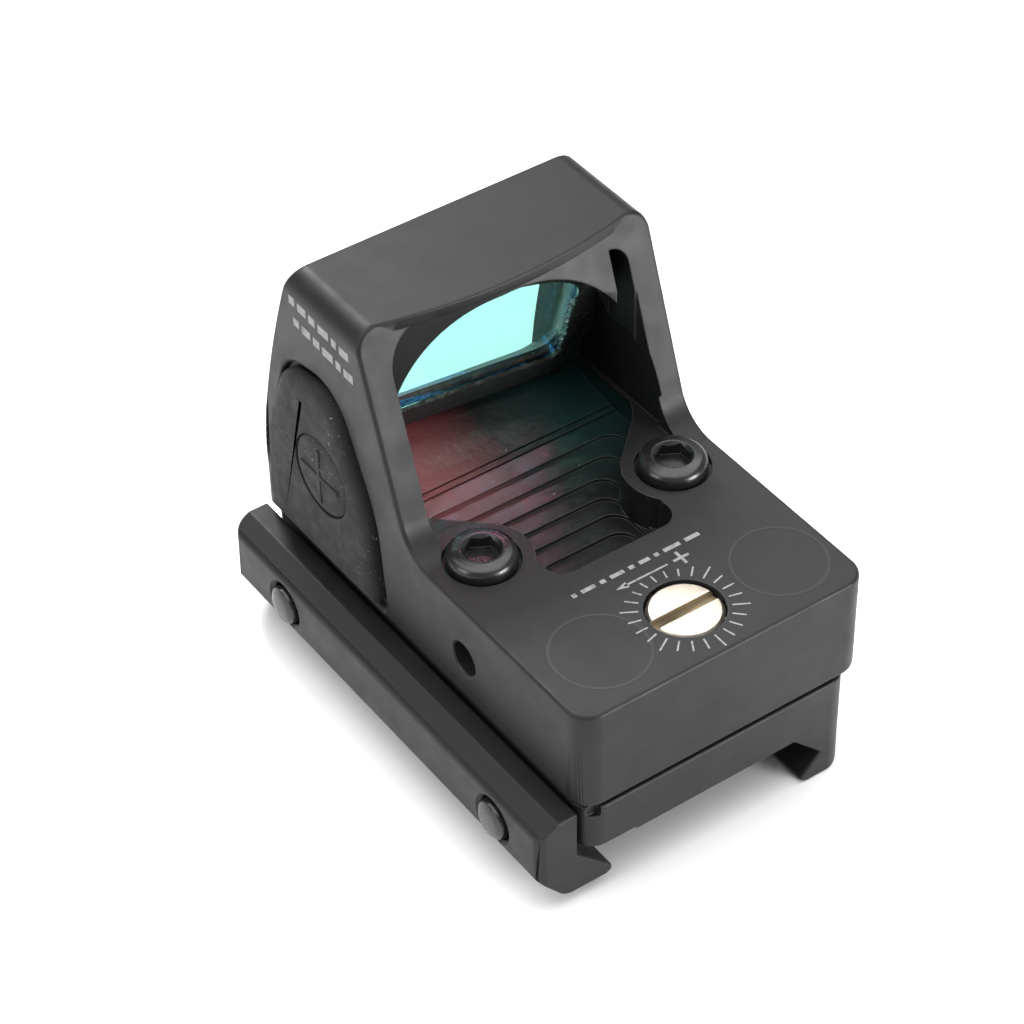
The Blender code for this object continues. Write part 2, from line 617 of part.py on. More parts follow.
def make_mount(black, rubber):
    base = outline("mount_base", mount_section(), MOUNT_REAR_Y, MOUNT_FRONT_Y, "XZ")
    plan = rounded([(PLATE_RIGHT_X, MOUNT_REAR_Y, 2.0), (PLATE_RIGHT_X, MOUNT_FRONT_Y, 2.0),
                    (PLATE_LEFT_X, MOUNT_FRONT_Y, 2.0), (PLATE_LEFT_X, MOUNT_REAR_Y, 2.0)], 5)
    boolean(base, "INTERSECT", outline("mount_plan", plan, -20, 20, "XY", collection=cutters))
    bosses = [rod(f"boss_{side}", (side * 10.3, -17.0), 1.75, PLATE_TOP_Z - 0.5, PLATE_TOP_Z + 1.3, sides=24,
                  collection=cutters) for side in (-1, 1)]
    boolean(base, "UNION", *bosses)
    tools = [box("corner_notch", (-15, -12.0), (-23, -21.3), (3.7, 6), cutters)]
    for side in (-1, 1):
        tools.append(rod(f"thread_hole_{side}", (side * SCREW_X, SCREW_Y), SCREW_SHANK_R + GAP, 1.4, 6,
                         sides=24, collection=cutters))
    for index, y in enumerate(BOLT_Y):
        tools.append(rod(f"bolt_bore_{index}", (y, BOLT_Z), BOLT_R + GAP, -20, 20, "X", 28, cutters))
        tools.append(rod(f"bolt_seat_{index}", (y, BOLT_Z), 3.7, PLATE_RIGHT_X - 1.6, 20, "X", 36, cutters))
    groove = outline("gasket_groove", gasket_plan(0.25), PLATE_TOP_Z - 0.7, PLATE_TOP_Z + 1,
                     collection=cutters)
    boolean(groove, "DIFFERENCE", outline("groove_island", gasket_plan(-1.25), 0, 10, collection=cutters))
    dress(boolean(base, "DIFFERENCE", *tools, groove), black)
    gasket = outline("base_gasket", gasket_plan(0), PLATE_TOP_Z - 0.5, PLATE_TOP_Z)
    boolean(gasket, "DIFFERENCE", outline("gasket_island", gasket_plan(-1.0), 0, 10, collection=cutters))
    dress(gasket, rubber)


def gasket_plan(grow):
    """A closed ring's outline round the bays, inside the screws at the waist."""
    wide = 11.4 + grow
    waist = 7.35 + grow
    corners = [(-waist, -20.6 - grow, 1.5), (waist, -20.6 - grow, 1.5), (waist, -0.4, 1.0),
               (wide, 3.2, 3.0), (wide, 21.6 + grow, 4.0), (-wide, 21.6 + grow, 4.0), (-wide, 3.2, 3.0),
               (-waist, -0.4, 1.0)]
    return rounded(corners, 4)


def make_clamp(black, steel):
    section = rounded([
        (BAR_OUTER_X, -1.05, 0.6), (-15.0, -4.1, 1.2), (-11.0, -4.1, 0.5), (-10.15, -3.65, 0.45),
        (BAR_INNER_X, -0.1, 0), (BAR_INNER_X, 4.55, 0.2), (-15.7, 4.55, 0.3), (BAR_OUTER_X, 3.55, 0.5),
    ], 3)
    bar = outline("clamp_bar", section, BAR_REAR_Y, BAR_FRONT_Y, "XZ")
    plan = rounded([(BAR_OUTER_X, BAR_REAR_Y, 1.2), (-8, BAR_REAR_Y, 0), (-8, BAR_FRONT_Y, 0),
                    (BAR_OUTER_X, BAR_FRONT_Y, 1.5)], 5)
    boolean(bar, "INTERSECT", outline("bar_plan", plan, -20, 20, "XY", collection=cutters))
    tools = []
    for index, y in enumerate(BOLT_Y):
        tools.append(rod(f"bar_bore_{index}", (y, BOLT_Z), BOLT_R + GAP, -20, -10, "X", 28, cutters))
    dress(boolean(bar, "DIFFERENCE", *tools), black)
    for name, y in zip(("front", "rear"), BOLT_Y):
        make_cross_bolt(name, y, steel)


def make_cross_bolt(name, y, steel):
    head_x = 15.0
    tip = head_x - BAR_OUTER_X + 0.5
    profile = [(0, 0), (3.1, 0), (3.4, -0.3), (3.4, -2.5), (BOLT_R, -2.5), (BOLT_R, -tip + 0.3),
               (BOLT_R - 0.3, -tip), (0, -tip)]
    bolt = turned(f"{name}_clamp_screw", profile, (head_x, y, BOLT_Z), "X")
    socket = rod(f"{name}_bolt_socket", (y, BOLT_Z), 1.5, head_x - 1.6, head_x + 1, "X", 6, cutters)
    dress(boolean(bolt, "DIFFERENCE", socket), steel)
    washer = [(3.3, 0.3), (3.3, -0.3), (BOLT_R + GAP, -0.3), (BOLT_R + GAP, 0.3)]
    dress(turned(f"{name}_washer", washer, (11.8, y, BOLT_Z), "X"), steel)


# ------------------------------------------------------------------ the part
def main():
    global model, cutters
    model, cutters = empty_scene()
    anodised = material("anodised_black", (0.045, 0.045, 0.047), 0.45, 0.6)
    rubber = material("black_rubber", (0.04, 0.04, 0.041), 0.8)
    nickel = material("pale_nickel", (0.72, 0.66, 0.58), 0.35, 1.0)
    steel = material("black_steel", (0.06, 0.06, 0.065), 0.3, 0.9)
    bright = material("bright_steel", (0.6, 0.6, 0.6), 0.3, 1.0)
    glass = material("coated_glass", (0.62, 0.95, 0.92), 0.02)
    brass = material("brass", (0.7, 0.55, 0.28), 0.35, 1.0)
    plastic = material("black_plastic", (0.05, 0.05, 0.05), 0.6)
    board = material("board_green", (0.03, 0.16, 0.08), 0.5)
    red = material("led_red", (0.8, 0.1, 0.08), 0.4)
    make_housing(anodised)
    make_lens(glass, rubber)
    make_adjusters(nickel, rubber, bright)
    make_emitter(brass, plastic, glass, red)
    make_electrics(board, bright, plastic, plastic)
    make_mounting_screws(steel)
    make_pad("left_button_pad", "plus_button", -1, rubber)
    make_pad("right_button_pad", "minus_button", 1, rubber)
    make_mount(anodised, rubber)
    make_clamp(anodised, steel)


main()
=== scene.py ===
"""Looks for the red dot finder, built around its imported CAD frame.

+Y points at the target, +X right, +Z up. Lengths are in millimetres in the CAD's own frame, and every mesh is
scaled to metres as it is made. The outer sizes come from the frame's own boxes.
"""
import math
import random

import bmesh
import bpy
from mathutils import Matrix, Vector


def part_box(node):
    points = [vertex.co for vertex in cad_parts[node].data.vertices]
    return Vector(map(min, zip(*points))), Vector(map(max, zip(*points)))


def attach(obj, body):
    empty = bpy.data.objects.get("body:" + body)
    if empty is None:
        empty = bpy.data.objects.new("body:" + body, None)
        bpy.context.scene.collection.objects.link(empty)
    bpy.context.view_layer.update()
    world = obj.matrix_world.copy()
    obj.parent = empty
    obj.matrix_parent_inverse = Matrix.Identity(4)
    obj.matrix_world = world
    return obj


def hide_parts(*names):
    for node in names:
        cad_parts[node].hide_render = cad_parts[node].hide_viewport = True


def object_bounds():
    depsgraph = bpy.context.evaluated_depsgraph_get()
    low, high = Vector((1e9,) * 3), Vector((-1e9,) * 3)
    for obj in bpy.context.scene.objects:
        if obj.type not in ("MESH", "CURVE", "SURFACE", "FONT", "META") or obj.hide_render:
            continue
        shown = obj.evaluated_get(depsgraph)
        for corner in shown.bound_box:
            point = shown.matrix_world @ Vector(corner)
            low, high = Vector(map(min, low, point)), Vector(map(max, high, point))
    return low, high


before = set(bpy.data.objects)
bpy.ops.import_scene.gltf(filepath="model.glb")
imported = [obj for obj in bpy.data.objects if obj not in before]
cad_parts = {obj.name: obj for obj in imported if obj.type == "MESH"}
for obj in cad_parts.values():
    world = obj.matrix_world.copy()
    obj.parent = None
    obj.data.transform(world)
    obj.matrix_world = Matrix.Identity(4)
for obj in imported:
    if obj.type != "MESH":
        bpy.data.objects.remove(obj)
cad_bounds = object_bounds()
MM = 0.001


def span(node):
    """Lowest and highest corner of a CAD node, in millimetres."""
    low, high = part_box(node)
    return low / MM, high / MM


def middle_y(node):
    """Where a round node's axis crosses Y, in millimetres."""
    low, high = span(node)
    return (low.y + high.y) / 2


# ------------------------------------------------------------------ sizes
HOUSING = span("housing")
PLATE = span("mount_base")
BAR = span("clamp_bar")
DIAL = span("elevation_screw")
SIDE_DIAL = span("windage_screw")
SCREW = span("mounting_screw_right")
PAD = span("right_button_pad")
BUTTON = span("minus_button")

HALF_WIDTH = HOUSING[1].x
TAIL_Y = HOUSING[0].y
NOSE_Y = HOUSING[1].y
BASE_Z = HOUSING[0].z
HOOD_Z = HOUSING[1].z
DECK_RISE = 9.8
DECK_Z = BASE_Z + DECK_RISE
CORNER_R = 2.15
NOSE_SWEEP = 6.05
HOOD_FOOT_Y = -1.9
HOOD_FILLET = 4.0
HOOD_LEAN = math.radians(19.6)
BROW_BOW = 1.6
BROW_THICK = 1.1

TUNNEL_HALF = 11.5
RIM_TOP_Z = HOOD_Z - 1.0
RECESS_Y = 6.6
ARCH_SPRING_Z = 17.75
ARCH_TOP_Z = 30.9
ARCH_X = 0.3
GROOVE_INNER_X = 9.7
GROOVE_OUTER_X = 11.35
GROOVE_Y = 8.7
WELL_REAR_Y = -8.05
WELL_HALF = 6.1
WELL_FLOOR_Z = 10.15
BOSS_R = 4.25
STEP_RISE = 0.32
STEP_RUN = 1.75
STEP_FRONT_Y = -4.6
STEP_HALVES = (4.3, 4.5, 5.2, 5.6, 6.6, 8.4, 10.0)
STEPS_END_Y = 7.65
SILL_Y = 15.6
SILL_Z = 13.75

LENS_FOOT = Vector((0.0, 14.73, 14.65))
LENS_TOE = math.radians(-7.0)
LENS_LEAN = math.radians(19.3)
LENS_HALF = 10.85
LENS_TALL = 16.6
LENS_SPRING = 11.0
LENS_THICK = 2.6
LENS_LIP = 0.5
FRAME_THICK = 3.8
FLARE_DEEP = 8.0
MOUTH_HALF = 12.6

DIAL_R = (DIAL[1].x - DIAL[0].x) / 2
DIAL_Y = (DIAL[0].y + DIAL[1].y) / 2
DIAL_DEEP = 1.28
DIAL_RECESS = 2.25
SHANK_R = 1.2
GAP = 0.2
SIDE_DIAL_Y = (SIDE_DIAL[0].y + SIDE_DIAL[1].y) / 2
SIDE_DIAL_Z = (SIDE_DIAL[0].z + SIDE_DIAL[1].z) / 2
SCREW_X = (SCREW[0].x + SCREW[1].x) / 2
SCREW_Y = (SCREW[0].y + SCREW[1].y) / 2
SCREW_HEAD_R = (SCREW[1].x - SCREW[0].x) / 2
SCREW_SHANK_R = 1.5
SOCKET_R = 1.62
SPRING_BORE_R = 1.5
LOCATOR_X = 10.3
LOCATOR_Y = -17.0
BATTERY_Y = 10.9
BATTERY_BAY_R = 10.3
SLOT_DEEP = 0.72
NOTCH_COUNT = 12
KNURL_COUNT = 36
BUTTON_Y = (BUTTON[0].y + BUTTON[1].y) / 2
BUTTON_Z = (BUTTON[0].z + BUTTON[1].z) / 2
BUTTON_R = (BUTTON[1].y - BUTTON[0].y) / 2
PAD_BACK_X = PAD[0].x
PAD_FACE_X = PAD[1].x

PLATE_TOP_Z = BASE_Z - 0.3
SEAT_LEFT_X = -8.6
RELIEF = 0.25
RAIL_X = -0.6
RAIL_HALF = 10.6
RAIL_EDGE_Z = -2.74
BOLT_Z = 0.85
BOLT_R = 1.75
BAR_INNER_X = -13.85
CLAMP_BOLTS = ("front_clamp_screw", "rear_clamp_screw")
FLOOR_Z = cad_bounds[0][2] / MM

MARK_LEVELS = (DECK_Z + 0.002, DECK_Z + 0.018)
SIDE_MARK_LEVELS = (-HALF_WIDTH - 0.018, -HALF_WIDTH + 0.01)
TICK_COUNT = 24
ARROW_Y = -11.75
LEGEND_Y = (-10.55, -10.15)
BEAD_STEPS = 90
BLOB_STEPS = (30, 31, 32, 33)
BEVEL_SAMPLES = 6

# The view: angles, focal length and where the camera stands
VIEW_AZIMUTH = math.radians(-34.9)
VIEW_ELEVATION = math.radians(41.99)
VIEW_ROLL = math.radians(-0.89)
VIEW_FOCAL = 115.1
VIEW_EYE = Vector((-115.2, -158.5, 189.15))


# ------------------------------------------------------------------ shape helpers
def keep(name, mesh):
    mesh.transform(Matrix.Scale(MM, 4))
    made = bpy.data.objects.new(name, mesh)
    bpy.context.scene.collection.objects.link(made)
    return made


def from_bmesh(name, bm):
    mesh = bpy.data.meshes.new(name)
    bm.to_mesh(mesh)
    bm.free()
    return keep(name, mesh)


def box(name, x, y, z):
    """A box between the (low, high) pairs x, y and z."""
    bm = bmesh.new()
    size = [pair[1] - pair[0] for pair in (x, y, z)]
    middle = [(pair[1] + pair[0]) / 2 for pair in (x, y, z)]
    bmesh.ops.create_cube(bm, size=1.0, matrix=Matrix.LocRotScale(Vector(middle), None, Vector(size)))
    return from_bmesh(name, bm)


def facing(axis):
    """Turns local +Z onto the named axis."""
    turns = {"X": Matrix.Rotation(math.pi / 2, 4, "Y"), "Y": Matrix.Rotation(-math.pi / 2, 4, "X")}
    return turns.get(axis, Matrix.Identity(4))


def rod(name, centre, radius, low, high, axis="Z", sides=64, far_radius=None):
    """A cylinder or cone along an axis, from low to high; centre gives the other two coordinates."""
    bm = bmesh.new()
    bmesh.ops.create_cone(bm, cap_ends=True, segments=sides, radius1=radius, radius2=far_radius or radius,
                          depth=high - low, matrix=facing(axis))
    middle = (low + high) / 2
    spot = {"X": (middle, *centre), "Y": (centre[0], middle, centre[1]), "Z": (*centre, middle)}[axis]
    bmesh.ops.translate(bm, verts=bm.verts, vec=spot)
    return from_bmesh(name, bm)


def rounded(corners, steps=10):
    """An outline from (u, v, radius) corners, each turned into an arc."""
    points = []
    for index, (u, v, radius) in enumerate(corners):
        here = Vector((u, v))
        if radius <= 0:
            points.append(here)
            continue
        before = (Vector(corners[index - 1][:2]) - here).normalized()
        after = (Vector(corners[(index + 1) % len(corners)][:2]) - here).normalized()
        half = before.angle(after) / 2
        centre = here + (before + after).normalized() * radius / math.sin(half)
        start = here + before * radius / math.tan(half) - centre
        turn = start.angle_signed(here + after * radius / math.tan(half) - centre)
        for step in range(steps + 1):
            points.append(centre + Matrix.Rotation(-turn * step / steps, 2) @ start)
    return points


def loft(name, rings, place=None, caps=True):
    """A closed skin through rings of matching 3D points."""
    bm = bmesh.new()
    loops = [[bm.verts.new(point) for point in ring] for ring in rings]
    count = len(loops[0])
    for lower, upper in zip(loops, loops[1:]):
        for index in range(count):
            after = (index + 1) % count
            bm.faces.new((lower[index], lower[after], upper[after], upper[index]))
    if caps:
        bm.faces.new(loops[0])
        bm.faces.new(loops[-1])
    bmesh.ops.recalc_face_normals(bm, faces=bm.faces)
    if place:
        bmesh.ops.transform(bm, matrix=place, verts=bm.verts)
    return from_bmesh(name, bm)


def outline(name, points, low, high, plane="XY", place=None):
    """A flat outline made solid between low and high along its plane's normal."""
    lift = {
        "XY": lambda p, h: (p[0], p[1], h),
        "XZ": lambda p, h: (p[0], h, p[1]),
        "YZ": lambda p, h: (h, p[0], p[1]),
    }[plane]
    return loft(name, [[lift(point, height) for point in points] for height in (low, high)], place)


def flat(across, up):
    """A rectangle's corners from its (low, high) pairs."""
    return [(across[0], up[0]), (across[1], up[0]), (across[1], up[1]), (across[0], up[1])]


def turned(name, profile, spot, axis="Z", steps=96):
    """A closed (radius, height) profile turned about an axis through spot."""
    bm = bmesh.new()
    loops = []
    for radius, height in profile:
        if radius < 1e-6:
            loops.append([bm.verts.new((0, 0, height))])
            continue
        angles = [2 * math.pi * step / steps for step in range(steps)]
        loops.append([bm.verts.new((radius * math.cos(a), radius * math.sin(a), height)) for a in angles])
    if len(loops[0]) > 1:
        loops.append(loops[0])
    for upper, lower in zip(loops, loops[1:]):
        for index in range(steps):
            after = (index + 1) % steps
            if len(upper) == 1:
                bm.faces.new((upper[0], lower[index], lower[after]))
            elif len(lower) == 1:
                bm.faces.new((upper[index], lower[0], upper[after]))
            else:
                bm.faces.new((upper[index], lower[index], lower[after], upper[after]))
    bmesh.ops.recalc_face_normals(bm, faces=bm.faces)
    bmesh.ops.transform(bm, matrix=Matrix.Translation(spot) @ facing(axis), verts=bm.verts)
    return from_bmesh(name, bm)


def settle(target):
    """Applies a piece's modifiers to its mesh."""
    bpy.context.view_layer.update()
    seen = target.evaluated_get(bpy.context.evaluated_depsgraph_get())
    mesh = bpy.data.meshes.new_from_object(seen)
    target.modifiers.clear()
    target.data = mesh
    return target


def boolean(target, operation, *tools):
    """Cuts, joins or intersects with each tool in turn, then removes the tools."""
    for tool in tools:
        step = target.modifiers.new(tool.name, "BOOLEAN")
        step.operation = operation
        step.object = tool
        step.solver = "MANIFOLD"
    settle(target)
    for tool in tools:
        bpy.data.objects.remove(tool, do_unlink=True)
    return target


def soften(target, width, segments=3, angle=35):
    """Rounds the edges sharper than an angle."""
    bevel = target.modifiers.new("soften", "BEVEL")
    bevel.width = width * MM
    bevel.segments = segments
    bevel.limit_method = "ANGLE"
    bevel.angle_limit = math.radians(angle)
    bevel.use_clamp_overlap = False
    return settle(target)


def join(name, pieces):
    """One piece from several."""
    bm = bmesh.new()
    for piece in pieces:
        bm.from_mesh(piece.data)
        bpy.data.objects.remove(piece, do_unlink=True)
    mesh = bpy.data.meshes.new(name)
    bm.to_mesh(mesh)
    bm.free()
    made = bpy.data.objects.new(name, mesh)
    bpy.context.scene.collection.objects.link(made)
    return made


def smooth(target, angle=32):
    """Smooth shading, split at sharp edges, with large flats kept flat."""
    mesh = target.data
    mesh.polygons.foreach_set("use_smooth", [True] * len(mesh.polygons))
    mesh.set_sharp_from_angle(angle=math.radians(angle))
    weighted = target.modifiers.new("flats", "WEIGHTED_NORMAL")
    weighted.keep_sharp = True
    weighted.weight = 100


def finish_piece(target, look, slot, body, *nodes):
    """Gives a piece its material, its body and the CAD nodes it stands for."""
    smooth(target)
    target.data.materials.clear()
    target.data.materials.append(look)
    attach(target, body)
    if nodes:
        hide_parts(*nodes)


# ------------------------------------------------------------------ material helpers
class Look:
    """A Principled material with short ways to add noise, edges and bumps."""

    def __init__(self, name, colour, roughness, **sockets):
        self.material = bpy.data.materials.new(name)
        self.material.use_nodes = True
        self.nodes = self.material.node_tree.nodes
        self.links = self.material.node_tree.links
        self.shader = self.nodes["Principled BSDF"]
        self.set("Base Color", (*colour, 1.0))
        self.set("Roughness", roughness)
        for socket, value in sockets.items():
            self.set(socket.replace("_", " "), value)
        self.colour = None
        self.place = self.nodes.new("ShaderNodeTexCoord").outputs["Object"]

    def set(self, socket, value):
        self.shader.inputs[socket].default_value = value

    def noise(self, scale, detail=4.0, stretch=None):
        made = self.nodes.new("ShaderNodeTexNoise")
        made.inputs["Scale"].default_value = scale
        made.inputs["Detail"].default_value = detail
        source = self.place
        if stretch:
            mapping = self.nodes.new("ShaderNodeMapping")
            mapping.inputs["Scale"].default_value = stretch
            self.links.new(source, mapping.inputs["Vector"])
            source = mapping.outputs["Vector"]
        self.links.new(source, made.inputs["Vector"])
        return made.outputs["Fac"]

    def ramp(self, value, low, high, start=0.0, end=1.0):
        """Maps value from low..high to start..end."""
        made = self.nodes.new("ShaderNodeMapRange")
        made.inputs["From Min"].default_value = low
        made.inputs["From Max"].default_value = high
        made.inputs["To Min"].default_value = start
        made.inputs["To Max"].default_value = end
        self.links.new(value, made.inputs["Value"])
        return made.outputs["Result"]

    def mix(self, factor, colour):
        """Mixes a colour over what the base colour is so far."""
        made = self.nodes.new("ShaderNodeMix")
        made.data_type = "RGBA"
        self.links.new(factor, made.inputs["Factor"])
        if self.colour is None:
            made.inputs["A"].default_value = self.shader.inputs["Base Color"].default_value
        else:
            self.links.new(self.colour, made.inputs["A"])
        made.inputs["B"].default_value = (*colour, 1.0)
        self.colour = made.outputs["Result"]
        self.links.new(self.colour, self.shader.inputs["Base Color"])

    def times(self, first, second):
        made = self.nodes.new("ShaderNodeMath")
        made.operation = "MULTIPLY"
        self.links.new(first, made.inputs[0])
        self.links.new(second, made.inputs[1])
        return made.outputs["Value"]

    def bevel(self, radius):
        """The surface's normal with its edges rounded by a radius in millimetres."""
        made = self.nodes.new("ShaderNodeBevel")
        made.samples = BEVEL_SAMPLES
        made.inputs["Radius"].default_value = radius * MM
        return made.outputs["Normal"]

    def edges(self, radius):
        """How much the surface turns within a radius: 0 on flats, up to 1 at an edge."""
        bevelled = self.bevel(radius)
        here = self.nodes.new("ShaderNodeNewGeometry")
        dot = self.nodes.new("ShaderNodeVectorMath")
        dot.operation = "DOT_PRODUCT"
        self.links.new(bevelled, dot.inputs[0])
        self.links.new(here.outputs["Normal"], dot.inputs[1])
        return self.ramp(dot.outputs["Value"], 0.99, 0.8)

    def surface(self, height, depth, edge_radius=0.0):
        """Bump from a height, over softly rounded edges."""
        bump = self.nodes.new("ShaderNodeBump")
        bump.inputs["Strength"].default_value = 1.0
        bump.inputs["Distance"].default_value = depth * MM
        self.links.new(height, bump.inputs["Height"])
        if edge_radius:
            self.links.new(self.bevel(edge_radius), bump.inputs["Normal"])
        self.links.new(bump.outputs["Normal"], self.shader.inputs["Normal"])

    def rough(self, value):
        self.links.new(value, self.shader.inputs["Roughness"])


def anodised():
    """Satin black anodising: fine tooth, faint cloudiness, and a paler line along the edges that is partly
    rubbed wear and partly a painted highlight where light catches them.
    """
    look = Look("anodised_black", (0.0085, 0.0085, 0.009), 0.45, Specular_IOR_Level=0.25)
    cloud = look.noise(120, 3)
    look.mix(look.ramp(cloud, 0.35, 0.7, 0.0, 0.6), (0.012, 0.012, 0.0125))
    look.mix(look.ramp(look.noise(9000, 2), 0.72, 0.8, 0.0, 0.25), (0.10, 0.10, 0.10))
    # Paler colour along the edges: rubbed wear plus a painted edge highlight
    look.mix(look.ramp(look.edges(0.14), 0.0, 1.0, 0.0, 0.6), (0.10, 0.10, 0.105))
    look.rough(look.ramp(look.noise(400, 5), 0.3, 0.7, 0.40, 0.52))
    look.surface(look.noise(5200, 3), 0.006, 0.16)
    return look.material


def rubber():
    """Moulded rubber with a pebbled grain and a little pale dust."""
    look = Look("black_rubber", (0.014, 0.014, 0.0145), 0.72, Specular_IOR_Level=0.25)
    look.mix(look.ramp(look.noise(300, 4), 0.4, 0.7, 0.0, 0.5), (0.020, 0.020, 0.0205))
    specks = look.times(look.ramp(look.noise(3600, 1), 0.70, 0.76), look.ramp(look.noise(160, 2), 0.48, 0.62))
    look.mix(specks, (0.22, 0.22, 0.21))
    look.rough(look.ramp(look.noise(900, 4), 0.3, 0.7, 0.62, 0.82))
    look.surface(look.noise(4200, 4), 0.035, 0.2)
    return look.material


def well_black():
    """The light well's finish: coarser black with dust, with painted light on its floor: rose for the red the
    coated lens throws back, teal for the light it passes.
    """
    look = Look("well_black", (0.007, 0.007, 0.0075), 0.40, Specular_IOR_Level=0.3)
    axes = look.nodes.new("ShaderNodeSeparateXYZ")
    look.links.new(look.place, axes.inputs["Vector"])
    ahead = look.ramp(axes.outputs["Y"], 0.0005, 0.0085)
    left = look.ramp(axes.outputs["X"], 0.0012, -0.0062)
    right = look.ramp(axes.outputs["X"], 0.0005, 0.0075)
    low = look.ramp(axes.outputs["Z"], 0.0150, 0.0138)
    # Painted light, not a stain: teal on the right where light passed by the coated lens falls, rose on the
    # left where its red reflection falls
    look.mix(look.times(look.times(ahead, right), low), (0.009, 0.030, 0.028))
    look.mix(look.times(look.times(ahead, left), low), (0.200, 0.050, 0.058))
    look.mix(look.ramp(look.noise(1500, 1), 0.76, 0.80, 0.0, 0.7), (0.20, 0.19, 0.19))
    # Paler colour along the edges: rubbed wear plus a painted edge highlight
    look.mix(look.ramp(look.edges(0.12), 0.0, 1.0, 0.0, 0.6), (0.10, 0.10, 0.10))
    look.rough(look.ramp(look.noise(500, 4), 0.3, 0.7, 0.28, 0.46))
    look.surface(look.noise(1300, 2), 0.05, 0.1)
    return look.material


def lens_glass():
    """Coated glass: passes cyan, throws back red."""
    look = Look("coated_glass", (0.38, 0.80, 0.74), 0.0, Transmission_Weight=1.0, IOR=1.52)
    look.set("Thin Film Thickness", 236.0)
    look.set("Thin Film IOR", 2.2)
    return look.material


def nickel():
    """Pale turned nickel: fine concentric tooth and a warm cast."""
    look = Look("pale_nickel", (0.56, 0.50, 0.42), 0.42, Metallic=1.0)
    look.mix(look.ramp(look.noise(700, 4), 0.4, 0.7, 0.0, 0.5), (0.48, 0.42, 0.35))
    look.rough(look.ramp(look.noise(1200, 3), 0.3, 0.7, 0.36, 0.5))
    look.surface(look.noise(3000, 2), 0.004, 0.12)
    return look.material


def slot_brown():
    """The bottom of the screw slot, with cutting marks and grime."""
    look = Look("slot_brown", (0.30, 0.24, 0.15), 0.5, Metallic=0.6)
    look.mix(look.ramp(look.noise(2500, 3, (0.15, 1, 1)), 0.4, 0.65), (0.10, 0.08, 0.05))
    look.surface(look.noise(2500, 3, (0.15, 1, 1)), 0.02)
    return look.material


def black_steel():
    """Black oxide with a soft gloss."""
    look = Look("black_steel", (0.008, 0.008, 0.0085), 0.26, Specular_IOR_Level=0.5)
    look.mix(look.ramp(look.noise(500, 4), 0.45, 0.75, 0.0, 0.5), (0.014, 0.014, 0.015))
    # Paler colour along the edges: rubbed wear plus a painted edge highlight
    look.mix(look.ramp(look.edges(0.1), 0.0, 1.0, 0.0, 0.35), (0.14, 0.14, 0.14))
    look.rough(look.ramp(look.noise(900, 3), 0.3, 0.7, 0.2, 0.34))
    look.surface(look.noise(2600, 3), 0.006, 0.12)
    return look.material


def white_ink():
    """Laser-etched marking, slightly broken."""
    look = Look("white_ink", (0.22, 0.22, 0.22), 0.6)
    look.mix(look.ramp(look.noise(2600, 3), 0.5, 0.68, 0.0, 0.75), (0.09, 0.09, 0.09))
    look.surface(look.noise(4000, 2), 0.004)
    return look.material


def ghost_ink():
    """A faint polished ring left on the anodising."""
    look = Look("ghost_ink", (0.014, 0.014, 0.0145), 0.36, Specular_IOR_Level=0.3)
    look.rough(look.ramp(look.noise(900, 3), 0.3, 0.7, 0.30, 0.42))
    return look.material


def glue():
    """Dark translucent adhesive with small bright beads."""
    look = Look("seal_black", (0.012, 0.014, 0.014), 0.12, Specular_IOR_Level=0.8)
    look.rough(look.ramp(look.noise(1200, 3), 0.35, 0.65, 0.05, 0.35))
    look.surface(look.noise(1500, 3), 0.03)
    return look.material


def bead_glass():
    """Clear adhesive, its teal a painted reflection of the light passed by the lens's coating, baked into its
    base colour.
    """
    # Teal base colour is painted light from the coated lens, not the adhesive's own colour
    look = Look("glue_teal", (0.10, 0.24, 0.22), 0.08, Specular_IOR_Level=0.9)
    look.mix(look.ramp(look.noise(2200, 3), 0.52, 0.6, 0.0, 0.9), (0.02, 0.03, 0.03))
    look.surface(look.noise(2500, 3), 0.1)
    return look.material


def plain(name, colour, roughness, metallic=0.0):
    """An inner piece's finish: a base colour with slight mottling and tooth."""
    look = Look(name, colour, roughness, Metallic=metallic)
    look.mix(look.ramp(look.noise(900, 4), 0.4, 0.7, 0.0, 0.4), tuple(c * 0.7 for c in colour))
    look.rough(look.ramp(look.noise(900, 3), 0.3, 0.7, roughness - 0.06, roughness + 0.08))
    look.surface(look.noise(2700, 2), 0.004)
    return look.material


# ------------------------------------------------------------------ outlines
def side_profile(steps=16):
    """The housing from the side, in Y and Z: tail, deck, filleted hood foot, leaning hood, swept nose."""
    points = [Vector((TAIL_Y, BASE_Z)), Vector((TAIL_Y, DECK_Z))]
    for step in range(steps + 1):
        angle = -math.pi / 2 + (math.pi / 2 - HOOD_LEAN) * step / steps
        points.append(Vector((HOOD_FOOT_Y + HOOD_FILLET * math.cos(angle),
                              DECK_Z + HOOD_FILLET * (1 + math.sin(angle)))))
    foot = points[-1]
    points.append(Vector((foot.x + (HOOD_Z - foot.y) * math.tan(HOOD_LEAN), HOOD_Z)))
    tall = HOOD_Z - BASE_Z
    for step in range(2 * steps + 1):
        part = 1 - step / (2 * steps)
        points.append(Vector((NOSE_Y - NOSE_SWEEP * part ** 1.75, BASE_Z + tall * part)))
    return points


def hood_top_y():
    """Where the hood's leaning rear face meets its top, at the sides."""
    foot_y = HOOD_FOOT_Y + HOOD_FILLET * math.cos(HOOD_LEAN)
    foot_z = DECK_Z + HOOD_FILLET * (1 - math.sin(HOOD_LEAN))
    return foot_y + (HOOD_Z - foot_z) * math.tan(HOOD_LEAN)


